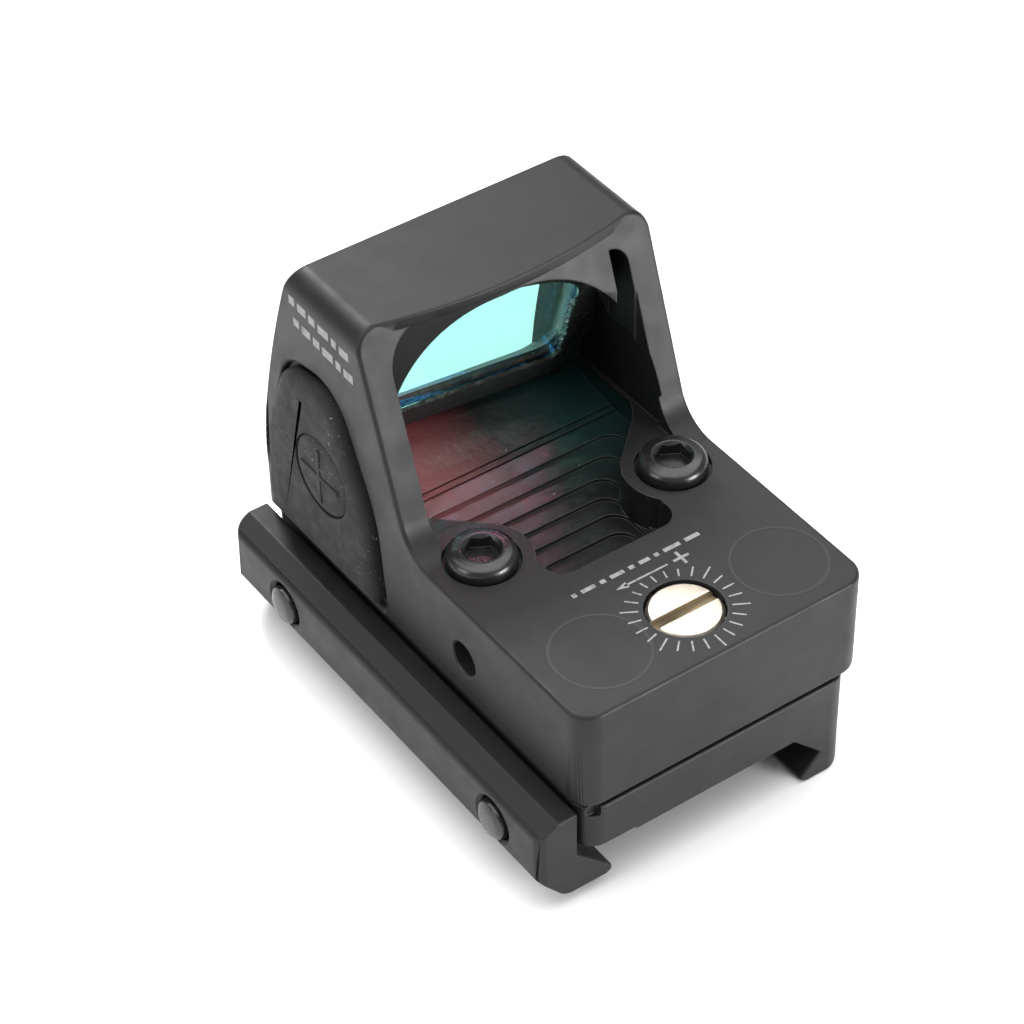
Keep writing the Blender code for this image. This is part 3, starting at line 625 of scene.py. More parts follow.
def arch(half, foot, spring, top, corner=0.0, steps=48, power=2.0):
    """Straight sides from foot to spring, then half an ellipse, or a squarer curve, to the top."""
    points = rounded([(-half, spring, 0), (-half, foot, corner), (half, foot, corner), (half, spring, 0)])
    for step in range(1, steps):
        angle = math.pi * step / steps
        across = math.copysign(abs(math.cos(angle)) ** (2 / power), math.cos(angle))
        points.append(Vector((half * across, spring + (top - spring) * math.sin(angle) ** (2 / power))))
    return points


def lens_axes():
    """X across, Y up the glass, Z towards the eye, from the foot of the glass."""
    turn = Matrix.Rotation(LENS_TOE, 4, "Z") @ Matrix.Rotation(math.pi / 2 + LENS_LEAN, 4, "X")
    return Matrix.Translation(LENS_FOOT) @ turn


def lens_outline(grow):
    return arch(LENS_HALF + grow, -grow, LENS_SPRING, LENS_TALL + grow, 2.0 + grow / 2)


def pad_outline(grow=0.0, ahead=None):
    """A side pad in Y and Z: a tall arch that leans with the hood, flat along its foot."""
    ahead = grow if ahead is None else ahead
    corners = [(21.0 + ahead, 6.3 - grow, 1.5), (20.3 + ahead, 16.0, 9.0), (17.6 + ahead, 23.4 + grow, 3.4),
               (10.6, 24.7 + grow, 4.5), (6.3 - grow, 15.5, 14.0), (5.1 - grow, 6.3 - grow, 0.8)]
    return rounded(corners, 12)


# ------------------------------------------------------------------ housing
def housing_blank():
    """The outer body with its rounded corners and softened edges, before anything is cut."""
    body = outline("housing_shell", side_profile(), -HALF_WIDTH, HALF_WIDTH, "YZ")
    plan = rounded([(HALF_WIDTH, TAIL_Y, CORNER_R), (HALF_WIDTH, NOSE_Y, 1.5),
                    (-HALF_WIDTH, NOSE_Y, 1.5), (-HALF_WIDTH, TAIL_Y, CORNER_R)], 14)
    front = rounded([(-HALF_WIDTH, BASE_Z, 0.8), (HALF_WIDTH, BASE_Z, 0.8),
                     (HALF_WIDTH, HOOD_Z, 2.0), (-HALF_WIDTH, HOOD_Z, 2.0)], 14)
    boolean(body, "INTERSECT", outline("plan_shape", plan, 0, 40),
            outline("front_shape", front, -30, 30, "XZ"))
    return soften(body, 0.35, 3, 32)


def brow():
    """The thin top wall carried backwards in a bow over the opening."""
    half = HALF_WIDTH - 2.0
    edge = hood_top_y()
    points = [Vector((half, edge + 2)), Vector((-half, edge + 2))]
    for step in range(41):
        across = -half + 2 * half * step / 40
        points.append(Vector((across, edge - BROW_BOW * (1 - (across / half) ** 2))))
    return soften(outline("brow", points, HOOD_Z - BROW_THICK, HOOD_Z), 0.18, 3, 50)


def flare():
    """The mouth ahead of the lens: it opens out to the sides and drops steeply to the chin."""
    near = lens_outline(-LENS_LIP - 0.2)
    wide = LENS_HALF - LENS_LIP + 0.63 * FLARE_DEEP
    far = arch(wide, -13.9, LENS_SPRING - 11.7, 13.3, 4.0)
    rings = [[(point.x, point.y, -deep) for point in points]
             for points, deep in ((near, FRAME_THICK - 0.6), (far, FRAME_THICK + FLARE_DEEP))]
    mouth = loft("mouth", rings, lens_axes())
    return boolean(mouth, "INTERSECT", box("mouth_limit", (-MOUTH_HALF, MOUTH_HALF), (0, 40), (0, 60)))


def behind_lens():
    return outline("behind_lens", flat((-40, 40), (-40, 40)), 0, 60, "XY", lens_axes())


def rim_recess():
    """The square-shouldered opening behind the arch."""
    rim = rounded([(-TUNNEL_HALF, 13.0, 0), (TUNNEL_HALF, 13.0, 0),
                   (TUNNEL_HALF, RIM_TOP_Z, 3.6), (-TUNNEL_HALF, RIM_TOP_Z, 3.6)], 14)
    recess = outline("rim_opening", rim, -20, 30, "XZ")
    turned_back = Matrix.Translation((0, RECESS_Y, 0)) @ Matrix.Rotation(LENS_TOE, 4, "Z")
    limit = outline("recess_limit", flat((-40, 40), (-60, 0)), 0, 60, "XY", turned_back)
    return boolean(recess, "INTERSECT", limit, box("above_deck", (-40, 40), (-40, 40), (DECK_Z, 60)))


def rim_groove():
    """A deeper groove down the right side of the opening, rounded off at the top."""
    top = RIM_TOP_Z - 1.2
    corners = [(GROOVE_INNER_X, DECK_Z - 0.01, 0), (GROOVE_OUTER_X, DECK_Z - 0.01, 0),
               (GROOVE_OUTER_X, top, 1.6), (GROOVE_INNER_X, top, 0)]
    return outline("rim_groove", rounded(corners, 12), -20, GROOVE_Y, "XZ")


def light_well():
    """The stepped floor under the line of sight, waisted between the two screw bosses."""
    deep = [(WELL_HALF, WELL_REAR_Y, 1.7), (WELL_HALF, 0.0, 0.4), (10.6, 4.2, 0.8), (TUNNEL_HALF, 5.8, 0),
            (TUNNEL_HALF, 24, 0), (-TUNNEL_HALF, 24, 0), (-TUNNEL_HALF, 5.8, 0), (-10.6, 4.2, 0.8),
            (-WELL_HALF, 0.0, 0.4), (-WELL_HALF, WELL_REAR_Y, 1.7)]
    plan = outline("well_plan", rounded(deep, 10), 0, 40)
    bosses = [rod(f"boss_{side}", (side * SCREW_X, SCREW_Y), BOSS_R, -1, 41, sides=96) for side in (-1, 1)]
    boolean(plan, "DIFFERENCE", *bosses)
    floor = WELL_FLOOR_Z + STEP_RISE * len(STEP_HALVES)
    ramp = [(-30, floor), (STEPS_END_Y, floor), (SILL_Y, SILL_Z), (24, SILL_Z), (24, 20), (-30, 20)]
    well = outline("well", ramp, -20, 20, "YZ")
    terraces = []
    for index, half in enumerate(STEP_HALVES):
        front = STEP_FRONT_Y + STEP_RUN * index
        shape = rounded([(half, -12, 0), (half, front, 1.7), (-half, front, 1.7), (-half, -12, 0)], 10)
        level = WELL_FLOOR_Z + STEP_RISE * index
        terraces.append(outline(f"terrace_{index}", shape, level, 16 + 0.1 * index))
    boolean(well, "UNION", *terraces)
    grooves = [box(f"groove_{index}", (-12, 12), (y, y + 0.22), (floor - 0.25, floor + 0.3))
               for index, y in enumerate((7.7, 8.35))]
    boolean(well, "UNION", *grooves)
    return boolean(well, "INTERSECT", plan, behind_lens())


def tunnel():
    points = arch(TUNNEL_HALF, DECK_Z - 0.02, ARCH_SPRING_Z, ARCH_TOP_Z, power=2.25)
    shape = outline("tunnel", points, 2, 30, "XZ", Matrix.Translation((ARCH_X, 0, 0)))
    return boolean(shape, "INTERSECT", behind_lens())


def pad_recess(side):
    """The recess round a pad: narrow ahead of it, wider behind, with a rolled mouth."""
    levels = [(0.45, PAD_BACK_X - GAP), (0.5, HALF_WIDTH - 0.4), (0.62, HALF_WIDTH - 0.2),
              (0.85, HALF_WIDTH - 0.06), (1.15, HALF_WIDTH + 0.01), (1.2, HALF_WIDTH + 2)]
    rings = [[(side * x, point.x, point.y) for point in pad_outline(grow, 0.25 + 0.2 * (grow - 0.45))]
             for grow, x in levels]
    return loft(f"pad_recess_{side}", rings)


def housing_cutters():
    frame_axes = lens_axes()
    cutters = [
        rim_recess(), rim_groove(), tunnel(), light_well(), flare(),
        outline("lens_pocket", lens_outline(0.55), -LENS_THICK - GAP, 0.75, "XY", frame_axes),
        outline("lens_window", lens_outline(-LENS_LIP), -FRAME_THICK, 1, "XY", frame_axes),
        box("emitter_hole", (-4, 0), (-10.5, WELL_REAR_Y + 1), (10.3, 11.5)),
        rod("battery_bay", (0, BATTERY_Y), BATTERY_BAY_R, BASE_Z - 1, 9.3),
        box("low_bay", (-7, 7), (-19.6, 2.0), (BASE_Z - 1.3, 9.25)),
        box("high_bay", (-6, 6), (-19.5, -9.3), (BASE_Z - 0.7, 11.6)),
        rod("dial_recess", (0, DIAL_Y), DIAL_R + 0.12, DECK_Z - DIAL_RECESS, DECK_Z + 1, sides=96),
        rod("dial_bore", (0, DIAL_Y), SHANK_R + GAP, 10, DECK_Z),
        rod("side_dial_recess", (SIDE_DIAL_Y, SIDE_DIAL_Z), DIAL_R + 0.12, HALF_WIDTH - DIAL_RECESS,
            HALF_WIDTH + 1, "X", 96),
        rod("side_dial_bore", (SIDE_DIAL_Y, SIDE_DIAL_Z), SHANK_R + GAP, 6.9, HALF_WIDTH, "X"),
        rod("spring_bore", (SIDE_DIAL_Y, SIDE_DIAL_Z), SPRING_BORE_R, -HALF_WIDTH - 1, -6.9, "X"),
        rod("spring_bore_lip", (SIDE_DIAL_Y, SIDE_DIAL_Z), SPRING_BORE_R + 0.9, -HALF_WIDTH - 0.75,
            -HALF_WIDTH + 0.15, "X", 64, SPRING_BORE_R),
    ]
    for side in (-1, 1):
        spot = (side * SCREW_X, SCREW_Y)
        cutters.append(rod(f"screw_hole_{side}", spot, SCREW_SHANK_R + GAP, 0, 20))
        cutters.append(rod(f"screw_seat_{side}", spot, SCREW_HEAD_R + 0.3, DECK_Z - 0.55, DECK_Z + 4,
                           sides=96))
        cutters.append(rod(f"boss_hole_{side}", (side * LOCATOR_X, LOCATOR_Y), 2.0, BASE_Z - 1, BASE_Z + 1.5))
        cutters.append(pad_recess(side))
        reach = sorted((side * 12.15, side * 16.0))
        cutters.append(rod(f"switch_pocket_{side}", (BUTTON_Y, BUTTON_Z), BUTTON_R + 0.3, *reach, "X"))
    return cutters


def build_housing(black, well_finish):
    body = housing_blank()
    boolean(body, "UNION", brow())
    boolean(body, "DIFFERENCE", *housing_cutters())
    finish_piece(body, black, "anodised_black", "body", "housing")
    body.data.materials.append(well_finish)
    paint_well(body)


def paint_well(body):
    """Faces inside the light path, below the hood's top, take the well's finish."""
    for face in body.data.polygons:
        spot = face.center / MM
        inside = abs(spot.x) < TUNNEL_HALF + 0.05 and spot.z > WELL_FLOOR_Z - 0.5
        below_deck = spot.z < DECK_Z - 0.05 and WELL_REAR_Y - 0.3 < spot.y < 18
        under_hood = 7.5 < spot.y < 18 and spot.z < ARCH_TOP_Z + 0.3
        near_dial = spot.y < -8.3
        if inside and (below_deck or under_hood) and not near_dial:
            boss = math.hypot(abs(spot.x) - SCREW_X, spot.y - SCREW_Y) < SCREW_HEAD_R + 0.6
            face.material_index = 0 if boss else 1


# ------------------------------------------------------------------ marks
def tick_marks():
    """Radial marks round the elevation screw, every fourth one longer."""
    marks = []
    for index in range(TICK_COUNT):
        angle = 2 * math.pi * index / TICK_COUNT
        outer = 4.45 if 4 <= index <= 8 else 5.1 if index % 4 == 2 else 4.75
        place = Matrix.Translation((0, DIAL_Y, 0)) @ Matrix.Rotation(angle, 4, "Z")
        shape = flat((3.65, outer), (-0.07, 0.07))
        marks.append(outline(f"tick_{index}", shape, *MARK_LEVELS, "XY", place))
    return marks


def arrow_marks():
    """A plain arrow for the turn direction, with a plus beside it, and a row of dashes for the legend."""
    shapes = [
        flat((-2.3, 1.9), (ARROW_Y - 0.09, ARROW_Y + 0.09)),
        [(-3.1, ARROW_Y), (-2.0, ARROW_Y - 0.34), (-2.0, ARROW_Y + 0.34)],
        flat((2.5, 4.0), (ARROW_Y - 0.13, ARROW_Y + 0.13)),
        flat((3.12, 3.38), (ARROW_Y + 0.14, ARROW_Y + 0.75)),
        flat((3.12, 3.38), (ARROW_Y - 0.75, ARROW_Y - 0.14)),
    ]
    start = -6.3
    for length in (0.4, 1.3, 0.5, 1.3, 0.5, 1.0, 0.4, 1.6, 1.4):
        shapes.append(flat((start, start + length), LEGEND_Y))
        start += length + 0.5
    return [outline(f"mark_{index}", shape, *MARK_LEVELS) for index, shape in enumerate(shapes)]


def side_dashes():
    """Two rows of plain dashes high on the hood's left side, in place of lettering."""
    marks = []
    for row, (start, z) in enumerate(((8.2, 30.2), (7.7, 28.3))):
        for index, length in enumerate((1.3, 0.7, 1.5, 0.9, 1.2, 0.8)):
            low = z - 0.55 + 0.11 * index
            shape = flat((start, start + length), (low, low + 0.8))
            marks.append(outline(f"dash_{row}_{index}", shape, *SIDE_MARK_LEVELS, "YZ"))
            start += length + 0.4
    return marks


def ghost_rings():
    """Faint rings either side of the elevation screw."""
    rings = []
    for index, (x, y, radius) in enumerate(((-8.1, -16.4, 4.0), (9.2, -16.6, 3.9))):
        profile = [(radius + 0.12, 0.012), (radius + 0.12, 0.001),
                   (radius - 0.12, 0.001), (radius - 0.12, 0.012)]
        rings.append(turned(f"ghost_{index}", profile, (x, y, DECK_Z)))
    return rings


def build_marks(ink, ghost):
    finish_piece(join("dial_scale", tick_marks() + arrow_marks()), ink, "anodised_black", "body")
    finish_piece(join("side_dashes", side_dashes()), ink, "anodised_black", "body")
    finish_piece(join("ghost_rings", ghost_rings()), ghost, "anodised_black", "body")


# ------------------------------------------------------------------ lens
def build_lens(glass, seal):
    """The glass plate with a small ground chamfer, and the bead of adhesive round it."""
    plate = outline("lens_glass", lens_outline(0), -LENS_THICK, 0, "XY", lens_axes())
    soften(plate, 0.12, 2, 40)
    finish_piece(plate, glass, "coated_glass", "body", "lens")
    axes = lens_axes()
    bead = outline("lens_bead", lens_outline(0.45), -1.6, 0.3, "XY", axes)
    boolean(bead, "DIFFERENCE", outline("bead_bore", lens_outline(0.12), -3, 0.15, "XY", axes))
    reach = LENS_HALF - 2
    foot = outline("bead_foot", flat((-reach, reach), (-0.55, 0.5)), 0.2, 0.45, "XY", axes)
    boolean(bead, "UNION", outline("bead_lip", lens_outline(0.45), 0.15, 0.5, "XY", axes), foot)
    opening = arch(LENS_HALF - 1.4, 1.9, LENS_SPRING, LENS_TALL - 1.2, 1.3)
    boolean(bead, "DIFFERENCE", outline("bead_opening", opening, -3, 3, "XY", axes))
    finish_piece(bead, seal, "black_rubber", "body", "lens_seal")


def build_glue(look):
    """An uneven squeeze-out of clear adhesive up the right side of the glass, and a blob in the corner."""
    rings = []
    start = Vector((LENS_HALF - 1.62, 2.6))
    for step in range(BEAD_STEPS):
        spot = start + Vector((0.05 * math.sin(step / 7), 0.085 * step))
        radius = 0.16 + 0.10 * random.random() + (0.25 if step in BLOB_STEPS else 0)
        ends = 0.2 if step in (0, BEAD_STEPS - 1) else 1.0
        ring = []
        for corner in range(8):
            angle = 2 * math.pi * corner / 8
            ring.append((spot.x + radius * ends * math.cos(angle), spot.y,
                         0.17 + 0.8 * radius * ends * (1 + math.sin(angle)) / 2))
        rings.append(ring)
    finish_piece(loft("glue_bead", rings, lens_axes()), look, "coated_glass", "body")


# ------------------------------------------------------------------ dials and screws
def dial(name, spot, axis, cut_axis, metal, slot_look, body, node):
    """A slotted dial with a notched, chamfered rim."""
    profile = [(0, 0), (DIAL_R - 0.42, 0), (DIAL_R - 0.3, -0.03), (DIAL_R - 0.05, -0.32), (DIAL_R, -0.42),
               (DIAL_R, -DIAL_DEEP), (SHANK_R, -DIAL_DEEP), (SHANK_R, -6.3), (SHANK_R - 0.3, -6.6), (0, -6.6)]
    made = turned(name, profile, (0, 0, 0), steps=120)
    slot = box("slot", (-4, 4), (-0.52, 0.52), (-SLOT_DEEP, 1))
    notches = []
    for index in range(NOTCH_COUNT):
        angle = 2 * math.pi * (index + 0.5) / NOTCH_COUNT
        place = Matrix.Rotation(angle, 4, "Z") @ Matrix.Translation((DIAL_R + 0.16, 0, 0))
        shape = [(0.3 * math.cos(a), 0.3 * math.sin(a)) for a in (2 * math.pi * n / 16 for n in range(16))]
        notches.append(outline(f"notch_{index}", shape, -0.55, 0.5, "XY", place))
    boolean(made, "DIFFERENCE", slot, *notches)
    floors = [face.index for face in made.data.polygons
              if abs(face.center.z / MM + SLOT_DEEP) < 0.02 and abs(face.center.y / MM) < 0.5]
    place = Matrix.Translation(Vector(spot) * MM) @ facing(axis)
    if cut_axis == "Y":
        place = place @ Matrix.Rotation(math.pi / 2, 4, "Z")
    made.data.transform(place)
    finish_piece(made, metal, "pale_nickel", body, node)
    made.data.materials.append(slot_look)
    for index in floors:
        made.data.polygons[index].material_index = 1


def socket_screw(side, steel):
    """A low button-head screw with a hex socket and a rounded rim."""
    name = "mounting_screw_" + ("left" if side < 0 else "right")
    top = SCREW[1].z
    rim = [(0, 0), (1.8, 0), (2.05, -0.03)]
    for step in range(9):
        angle = math.pi / 2 * step / 8
        rim.append((2.1 + 0.8 * math.sin(angle), -0.05 - 0.8 * (1 - math.cos(angle))))
    profile = rim + [(SCREW_HEAD_R, -1.5), (SCREW_HEAD_R - 0.1, -1.6), (SCREW_SHANK_R, -1.6),
                     (SCREW_SHANK_R, -13.6), (0, -13.9)]
    screw = turned(name + "_body", profile, (side * SCREW_X, SCREW_Y, top), steps=96)
    socket = rod("socket", (side * SCREW_X, SCREW_Y), SOCKET_R, top - 1.2, top + 1, sides=6)
    lip = rod("socket_lip", (side * SCREW_X, SCREW_Y), 1.35, top - 0.35, top + 0.4, sides=48, far_radius=2.1)
    boolean(screw, "DIFFERENCE", socket, lip)
    finish_piece(screw, steel, "black_steel", "body", name)


def cross_bolt(name, node, body, steel):
    """A cross bolt: hex socket head on the right, domed end on the left."""
    low, high = span(node)
    y = middle_y(node)
    head_r = (high.y - low.y) / 2
    tip = high.x - low.x
    profile = [(0, 0), (head_r - 0.45, 0), (head_r - 0.12, -0.14), (head_r, -0.45), (head_r, -2.5),
               (BOLT_R, -2.5), (BOLT_R, -tip + 0.62), (BOLT_R - 0.12, -tip + 0.3), (BOLT_R - 0.4, -tip + 0.1),
               (BOLT_R - 0.9, -tip), (0, -tip)]
    bolt = turned(name, profile, (high.x, y, BOLT_Z), "X", 80)
    socket = rod("socket", (y, BOLT_Z), SOCKET_R, high.x - 1.6, high.x + 1, "X", 6)
    boolean(bolt, "DIFFERENCE", socket)
    knurls = []
    for index in range(KNURL_COUNT):
        angle = 2 * math.pi * index / KNURL_COUNT
        spot = (y + (head_r + 0.05) * math.cos(angle), BOLT_Z + (head_r + 0.05) * math.sin(angle))
        knurls.append(rod(f"knurl_{index}", spot, 0.16, high.x - 2.1, high.x - 0.5, "X", 8))
    boolean(bolt, "DIFFERENCE", join("knurls", knurls))
    finish_piece(bolt, steel, "black_steel", body, node)


def washer(node, steel):
    low, high = span(node)
    y = middle_y(node)
    outer = (high.y - low.y) / 2
    thick = (high.x - low.x) / 2
    profile = [(outer - 0.08, thick), (outer, thick - 0.08), (outer, 0.08 - thick), (outer - 0.08, -thick),
               (BOLT_R + GAP, -thick), (BOLT_R + GAP, thick)]
    made = turned(node + "_ring", profile, ((low.x + high.x) / 2, y, BOLT_Z), "X")
    finish_piece(made, steel, "black_steel", "body", node)


# ------------------------------------------------------------------ pads and buttons
def build_pad(side, look):
    """A domed rubber pad with soft shoulders, open round its button."""
    name = ("left" if side < 0 else "right") + "_button_pad"
    levels = [(0.0, PAD_BACK_X), (0.0, HALF_WIDTH + 0.05), (-0.06, HALF_WIDTH + 0.28),
              (-0.22, HALF_WIDTH + 0.52), (-0.48, HALF_WIDTH + 0.70), (-0.8, HALF_WIDTH + 0.80),
              (-1.3, PAD_FACE_X - 0.03), (-1.85, PAD_FACE_X - 0.004), (-2.0, PAD_FACE_X)]
    rings = [[(side * x, point.x, point.y) for point in pad_outline(grow, grow + 0.15)] for grow, x in levels]
    pad = loft(name + "_skin", rings)
    spot = (BUTTON_Y, BUTTON_Z)
    well_floor = BUTTON[1].x - 1.02
    boolean(pad, "DIFFERENCE", rod("opening", spot, BUTTON_R - 0.3, *sorted((side * 12, side * 17)), "X", 96),
            rod("seat", spot, BUTTON_R + 0.06, *sorted((side * well_floor, side * 17)), "X", 96))
    finish_piece(pad, look, "black_rubber", "body", name)


def build_button(side, look):
    """A low domed button with its sign raised on it: plus on the left, minus on the right."""
    name, body = ("plus_button", "plus_key") if side < 0 else ("minus_button", "minus_key")
    head = BUTTON[1].x
    profile = [(0, head - 0.08), (1.2, head - 0.09), (2.4, head - 0.13), (3.1, head - 0.2),
               (3.4, head - 0.27), (3.6, head - 0.38), (BUTTON_R, head - 0.48), (BUTTON_R, head - 0.55),
               (BUTTON_R - 0.35, head - 0.6), (BUTTON_R - 0.35, head - 1.95), (0, head - 1.95)]
    button = turned(name + "_cap", profile, (0, BUTTON_Y, BUTTON_Z), "X")
    bars = [box("bar", (head - 0.6, head), (BUTTON_Y - 2.7, BUTTON_Y + 2.7),
                (BUTTON_Z - 0.19, BUTTON_Z + 0.19))]
    if side < 0:
        bars.append(box("post", (head - 0.6, head - 0.003), (BUTTON_Y - 0.19, BUTTON_Y + 0.19),
                        (BUTTON_Z - 2.7, BUTTON_Z + 2.7)))
    boolean(button, "UNION", *bars)
    if side < 0:
        button.data.transform(Matrix.Scale(-1, 4, Vector((1, 0, 0))))
        button.data.flip_normals()
    finish_piece(button, look, "black_rubber", body, name)


# ------------------------------------------------------------------ mount and clamp
def mount_section():
    """The mount from behind, in X and Z: seat, then the fixed jaw's notch on the right."""
    apex_x = RAIL_X + RAIL_HALF + 0.05
    apex_z = RAIL_EDGE_Z - 0.06
    lip = 2.05
    return rounded([
        (PLATE[0].x, RELIEF, 0.2), (SEAT_LEFT_X, RELIEF, 0), (SEAT_LEFT_X, 0, 0),
        (apex_x + apex_z, 0, 0), (apex_x, apex_z, 0.12),
        (apex_x - lip, apex_z - lip, 0.3), (apex_x - lip + 0.7, PLATE[0].z, 0.4),
        (PLATE[1].x, PLATE[0].z, 1.3), (PLATE[1].x, PLATE_TOP_Z, 0.3), (PLATE[0].x, PLATE_TOP_Z, 0.3),
    ], 8)


def build_mount(black):
    base = outline("mount_body", mount_section(), PLATE[0].y, PLATE[1].y, "XZ")
    plan = rounded([(PLATE[1].x, PLATE[0].y, 2.0), (PLATE[1].x, PLATE[1].y, 2.0),
                    (PLATE[0].x, PLATE[1].y, 2.0), (PLATE[0].x, PLATE[0].y, 2.0)], 12)
    boolean(base, "INTERSECT", outline("mount_plan", plan, -20, 20))
    soften(base, 0.22, 3, 32)
    bosses = [rod(f"boss_{side}", (side * LOCATOR_X, LOCATOR_Y), 1.75, PLATE_TOP_Z - 0.5, PLATE_TOP_Z + 1.3)
              for side in (-1, 1)]
    boolean(base, "UNION", *bosses)
    tools = [rod(f"thread_{side}", (side * SCREW_X, SCREW_Y), SCREW_SHANK_R + GAP, 1.4, 6)
             for side in (-1, 1)]
    tools.append(box("corner_notch", (-15, -12.0), (-23, -21.3), (3.7, 6)))
    for node in CLAMP_BOLTS:
        y = middle_y(node)
        tools.append(rod(node + "_bore", (y, BOLT_Z), BOLT_R + GAP, -20, 20, "X"))
        tools.append(rod(node + "_seat", (y, BOLT_Z), 3.7, PLATE[1].x - 1.6, 20, "X", 96))
    groove = outline("gasket_groove", gasket_plan(0.25), PLATE_TOP_Z - 0.7, PLATE_TOP_Z + 1)
    boolean(groove, "DIFFERENCE", outline("groove_island", gasket_plan(-1.25), 0, 10))
    boolean(base, "DIFFERENCE", *tools, groove)
    finish_piece(base, black, "anodised_black", "body", "mount_base")


def gasket_plan(grow):
    """A closed ring's outline round the bays, inside the screws at the waist."""
    wide = 11.4 + grow
    waist = 7.35 + grow
    corners = [(-waist, -20.6 - grow, 1.5), (waist, -20.6 - grow, 1.5), (waist, -0.4, 1.0),
               (wide, 3.2, 3.0), (wide, 21.6 + grow, 4.0), (-wide, 21.6 + grow, 4.0), (-wide, 3.2, 3.0),
               (-waist, -0.4, 1.0)]
    return rounded(corners, 8)


def build_clamp(black):
    outer = BAR[0].x
    section = rounded([
        (outer, -1.05, 0.9), (-15.0, BAR[0].z, 1.6), (-11.0, BAR[0].z, 0.5), (-10.15, -3.65, 0.45),
        (BAR_INNER_X, -0.1, 0), (BAR_INNER_X, BAR[1].z, 0.2), (-15.7, BAR[1].z, 0.5), (outer, 3.55, 0.8),
    ], 8)
    bar = outline("clamp_jaw", section, BAR[0].y, BAR[1].y, "XZ")
    plan = rounded([(outer, BAR[0].y, 0.9), (-8, BAR[0].y, 0), (-8, BAR[1].y, 0), (outer, BAR[1].y, 1.5)], 12)
    boolean(bar, "INTERSECT", outline("bar_plan", plan, -20, 20))
    soften(bar, 0.18, 3, 32)
    tools = []
    for node in CLAMP_BOLTS:
        y = middle_y(node)
        tools.append(rod(node + "_hole", (y, BOLT_Z), BOLT_R + GAP, -20, -10, "X"))
        tools.append(rod(node + "_mouth", (y, BOLT_Z), BOLT_R + GAP + 0.95, outer - 0.6, outer + 0.35,
                         "X", 64, BOLT_R + GAP))
    boolean(bar, "DIFFERENCE", *tools)
    finish_piece(bar, black, "anodised_black", "clamp", "clamp_bar")


# ------------------------------------------------------------------ carried-over CAD nodes
def dress_nodes(rubber_look, glass):
    """Procedural finishes for the inner pieces that stay as CAD."""
    bright = plain("bright_steel", (0.58, 0.58, 0.57), 0.3, 1.0)
    plastic = plain("black_plastic", (0.035, 0.035, 0.036), 0.55)
    looks = {
        "elevation_seal": rubber_look, "windage_seal": rubber_look, "base_gasket": rubber_look,
        "elevation_spring": bright, "windage_spring": bright, "windage_spring_screw": bright,
        "battery": bright, "battery_contact": bright, "battery_tray": plastic, "led_carriage": plastic,
        "driver_chip": plastic, "left_switch": plastic, "right_switch": plastic,
        "led_cradle": plain("brass", (0.66, 0.50, 0.24), 0.34, 1.0),
        "circuit_board": plain("board_green", (0.03, 0.15, 0.07), 0.45),
        "led_chip": plain("led_red", (0.7, 0.06, 0.05), 0.25),
        "emitter_window": glass,
    }
    for node, look in looks.items():
        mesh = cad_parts[node].data
        mesh.materials.clear()
        mesh.materials.append(look)


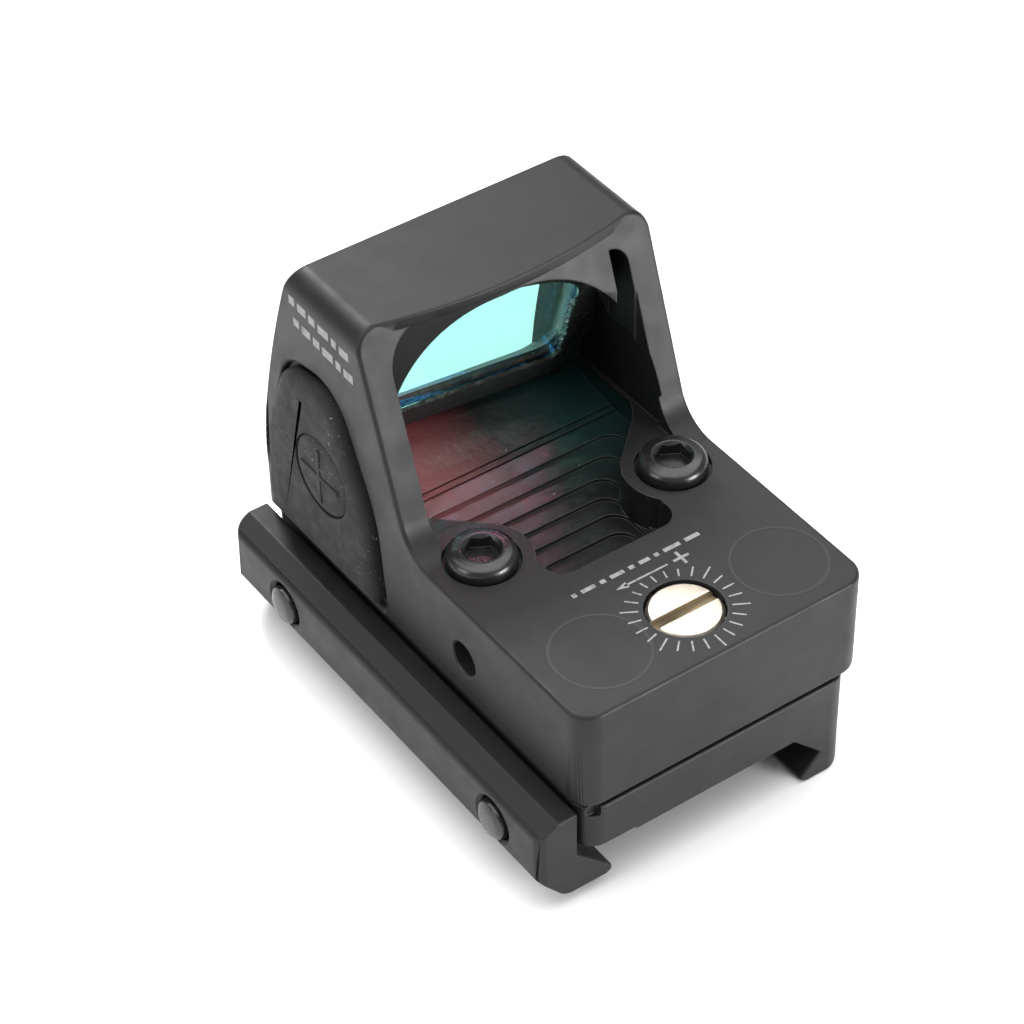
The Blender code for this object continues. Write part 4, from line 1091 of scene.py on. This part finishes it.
# ------------------------------------------------------------------ studio
def build_studio():
    floor = box("studio_floor", (-3000, 3000), (-3000, 3000), (FLOOR_Z - 30, FLOOR_Z - 0.02))
    pale = Look("studio_white", (0.86, 0.86, 0.86), 0.9, Specular_IOR_Level=0.1)
    floor.data.materials.append(pale.material)

    world = bpy.data.worlds.new("studio_air")
    bpy.context.scene.world = world
    world.use_nodes = True
    sky = world.node_tree.nodes["Background"]
    sky.inputs["Color"].default_value = (1.0, 1.0, 1.0, 1.0)
    sky.inputs["Strength"].default_value = 0.40

    lamps = [
        ("overhead", (0.05, 0.10, 0.80), 1.3, 16.0),
        ("front", (0.12, 0.55, 0.52), 0.20, 3.5),
        ("rear", (0.30, -0.62, 0.06), 0.30, 8.0),
        ("side", (-0.60, 0.05, 0.30), 0.30, 1.5),
    ]
    for name, spot, size, power in lamps:
        lamp = bpy.data.lights.new(name, "AREA")
        lamp.shape = "SQUARE"
        lamp.size = size
        lamp.energy = power
        made = bpy.data.objects.new(name, lamp)
        bpy.context.scene.collection.objects.link(made)
        made.location = spot
        made.rotation_euler = (-Vector(spot)).to_track_quat("-Z", "Y").to_euler()


def build_camera():
    back = Vector((math.sin(VIEW_AZIMUTH) * math.cos(VIEW_ELEVATION),
                   -math.cos(VIEW_AZIMUTH) * math.cos(VIEW_ELEVATION), math.sin(VIEW_ELEVATION)))
    aim = (-back).to_track_quat("-Z", "Y").to_matrix()
    roll = Matrix.Rotation(VIEW_ROLL, 3, "Z")
    lens = bpy.data.cameras.new("photo_view")
    lens.sensor_width = 36.0
    lens.lens = VIEW_FOCAL
    lens.clip_start = 0.01
    camera = bpy.data.objects.new("photo_view", lens)
    bpy.context.scene.collection.objects.link(camera)
    camera.matrix_world = Matrix.Translation(VIEW_EYE * MM) @ (aim @ roll).to_4x4()
    bpy.context.scene.camera = camera
    bpy.context.scene.view_settings.view_transform = "Standard"


# ------------------------------------------------------------------ the finder
def main():
    random.seed(7)
    black = anodised()
    rubber_look = rubber()
    steel = black_steel()
    metal = nickel()
    slot_look = slot_brown()
    glass = lens_glass()
    build_housing(black, well_black())
    build_marks(white_ink(), ghost_ink())
    build_lens(glass, glue())
    build_glue(bead_glass())
    dial("elevation_dial_head", (0, DIAL_Y, DIAL[1].z), "Z", "X", metal, slot_look, "elevation_dial",
         "elevation_screw")
    dial("windage_dial_head", (SIDE_DIAL[1].x, SIDE_DIAL_Y, SIDE_DIAL_Z), "X", "Y", metal, slot_look,
         "windage_dial", "windage_screw")
    for side in (-1, 1):
        socket_screw(side, steel)
        build_pad(side, rubber_look)
        build_button(side, rubber_look)
    cross_bolt("front_bolt_body", "front_clamp_screw", "front_bolt", steel)
    cross_bolt("rear_bolt_body", "rear_clamp_screw", "rear_bolt", steel)
    washer("front_washer", steel)
    washer("rear_washer", steel)
    build_mount(black)
    build_clamp(black)
    dress_nodes(rubber_look, glass)
    build_studio()
    build_camera()


main()
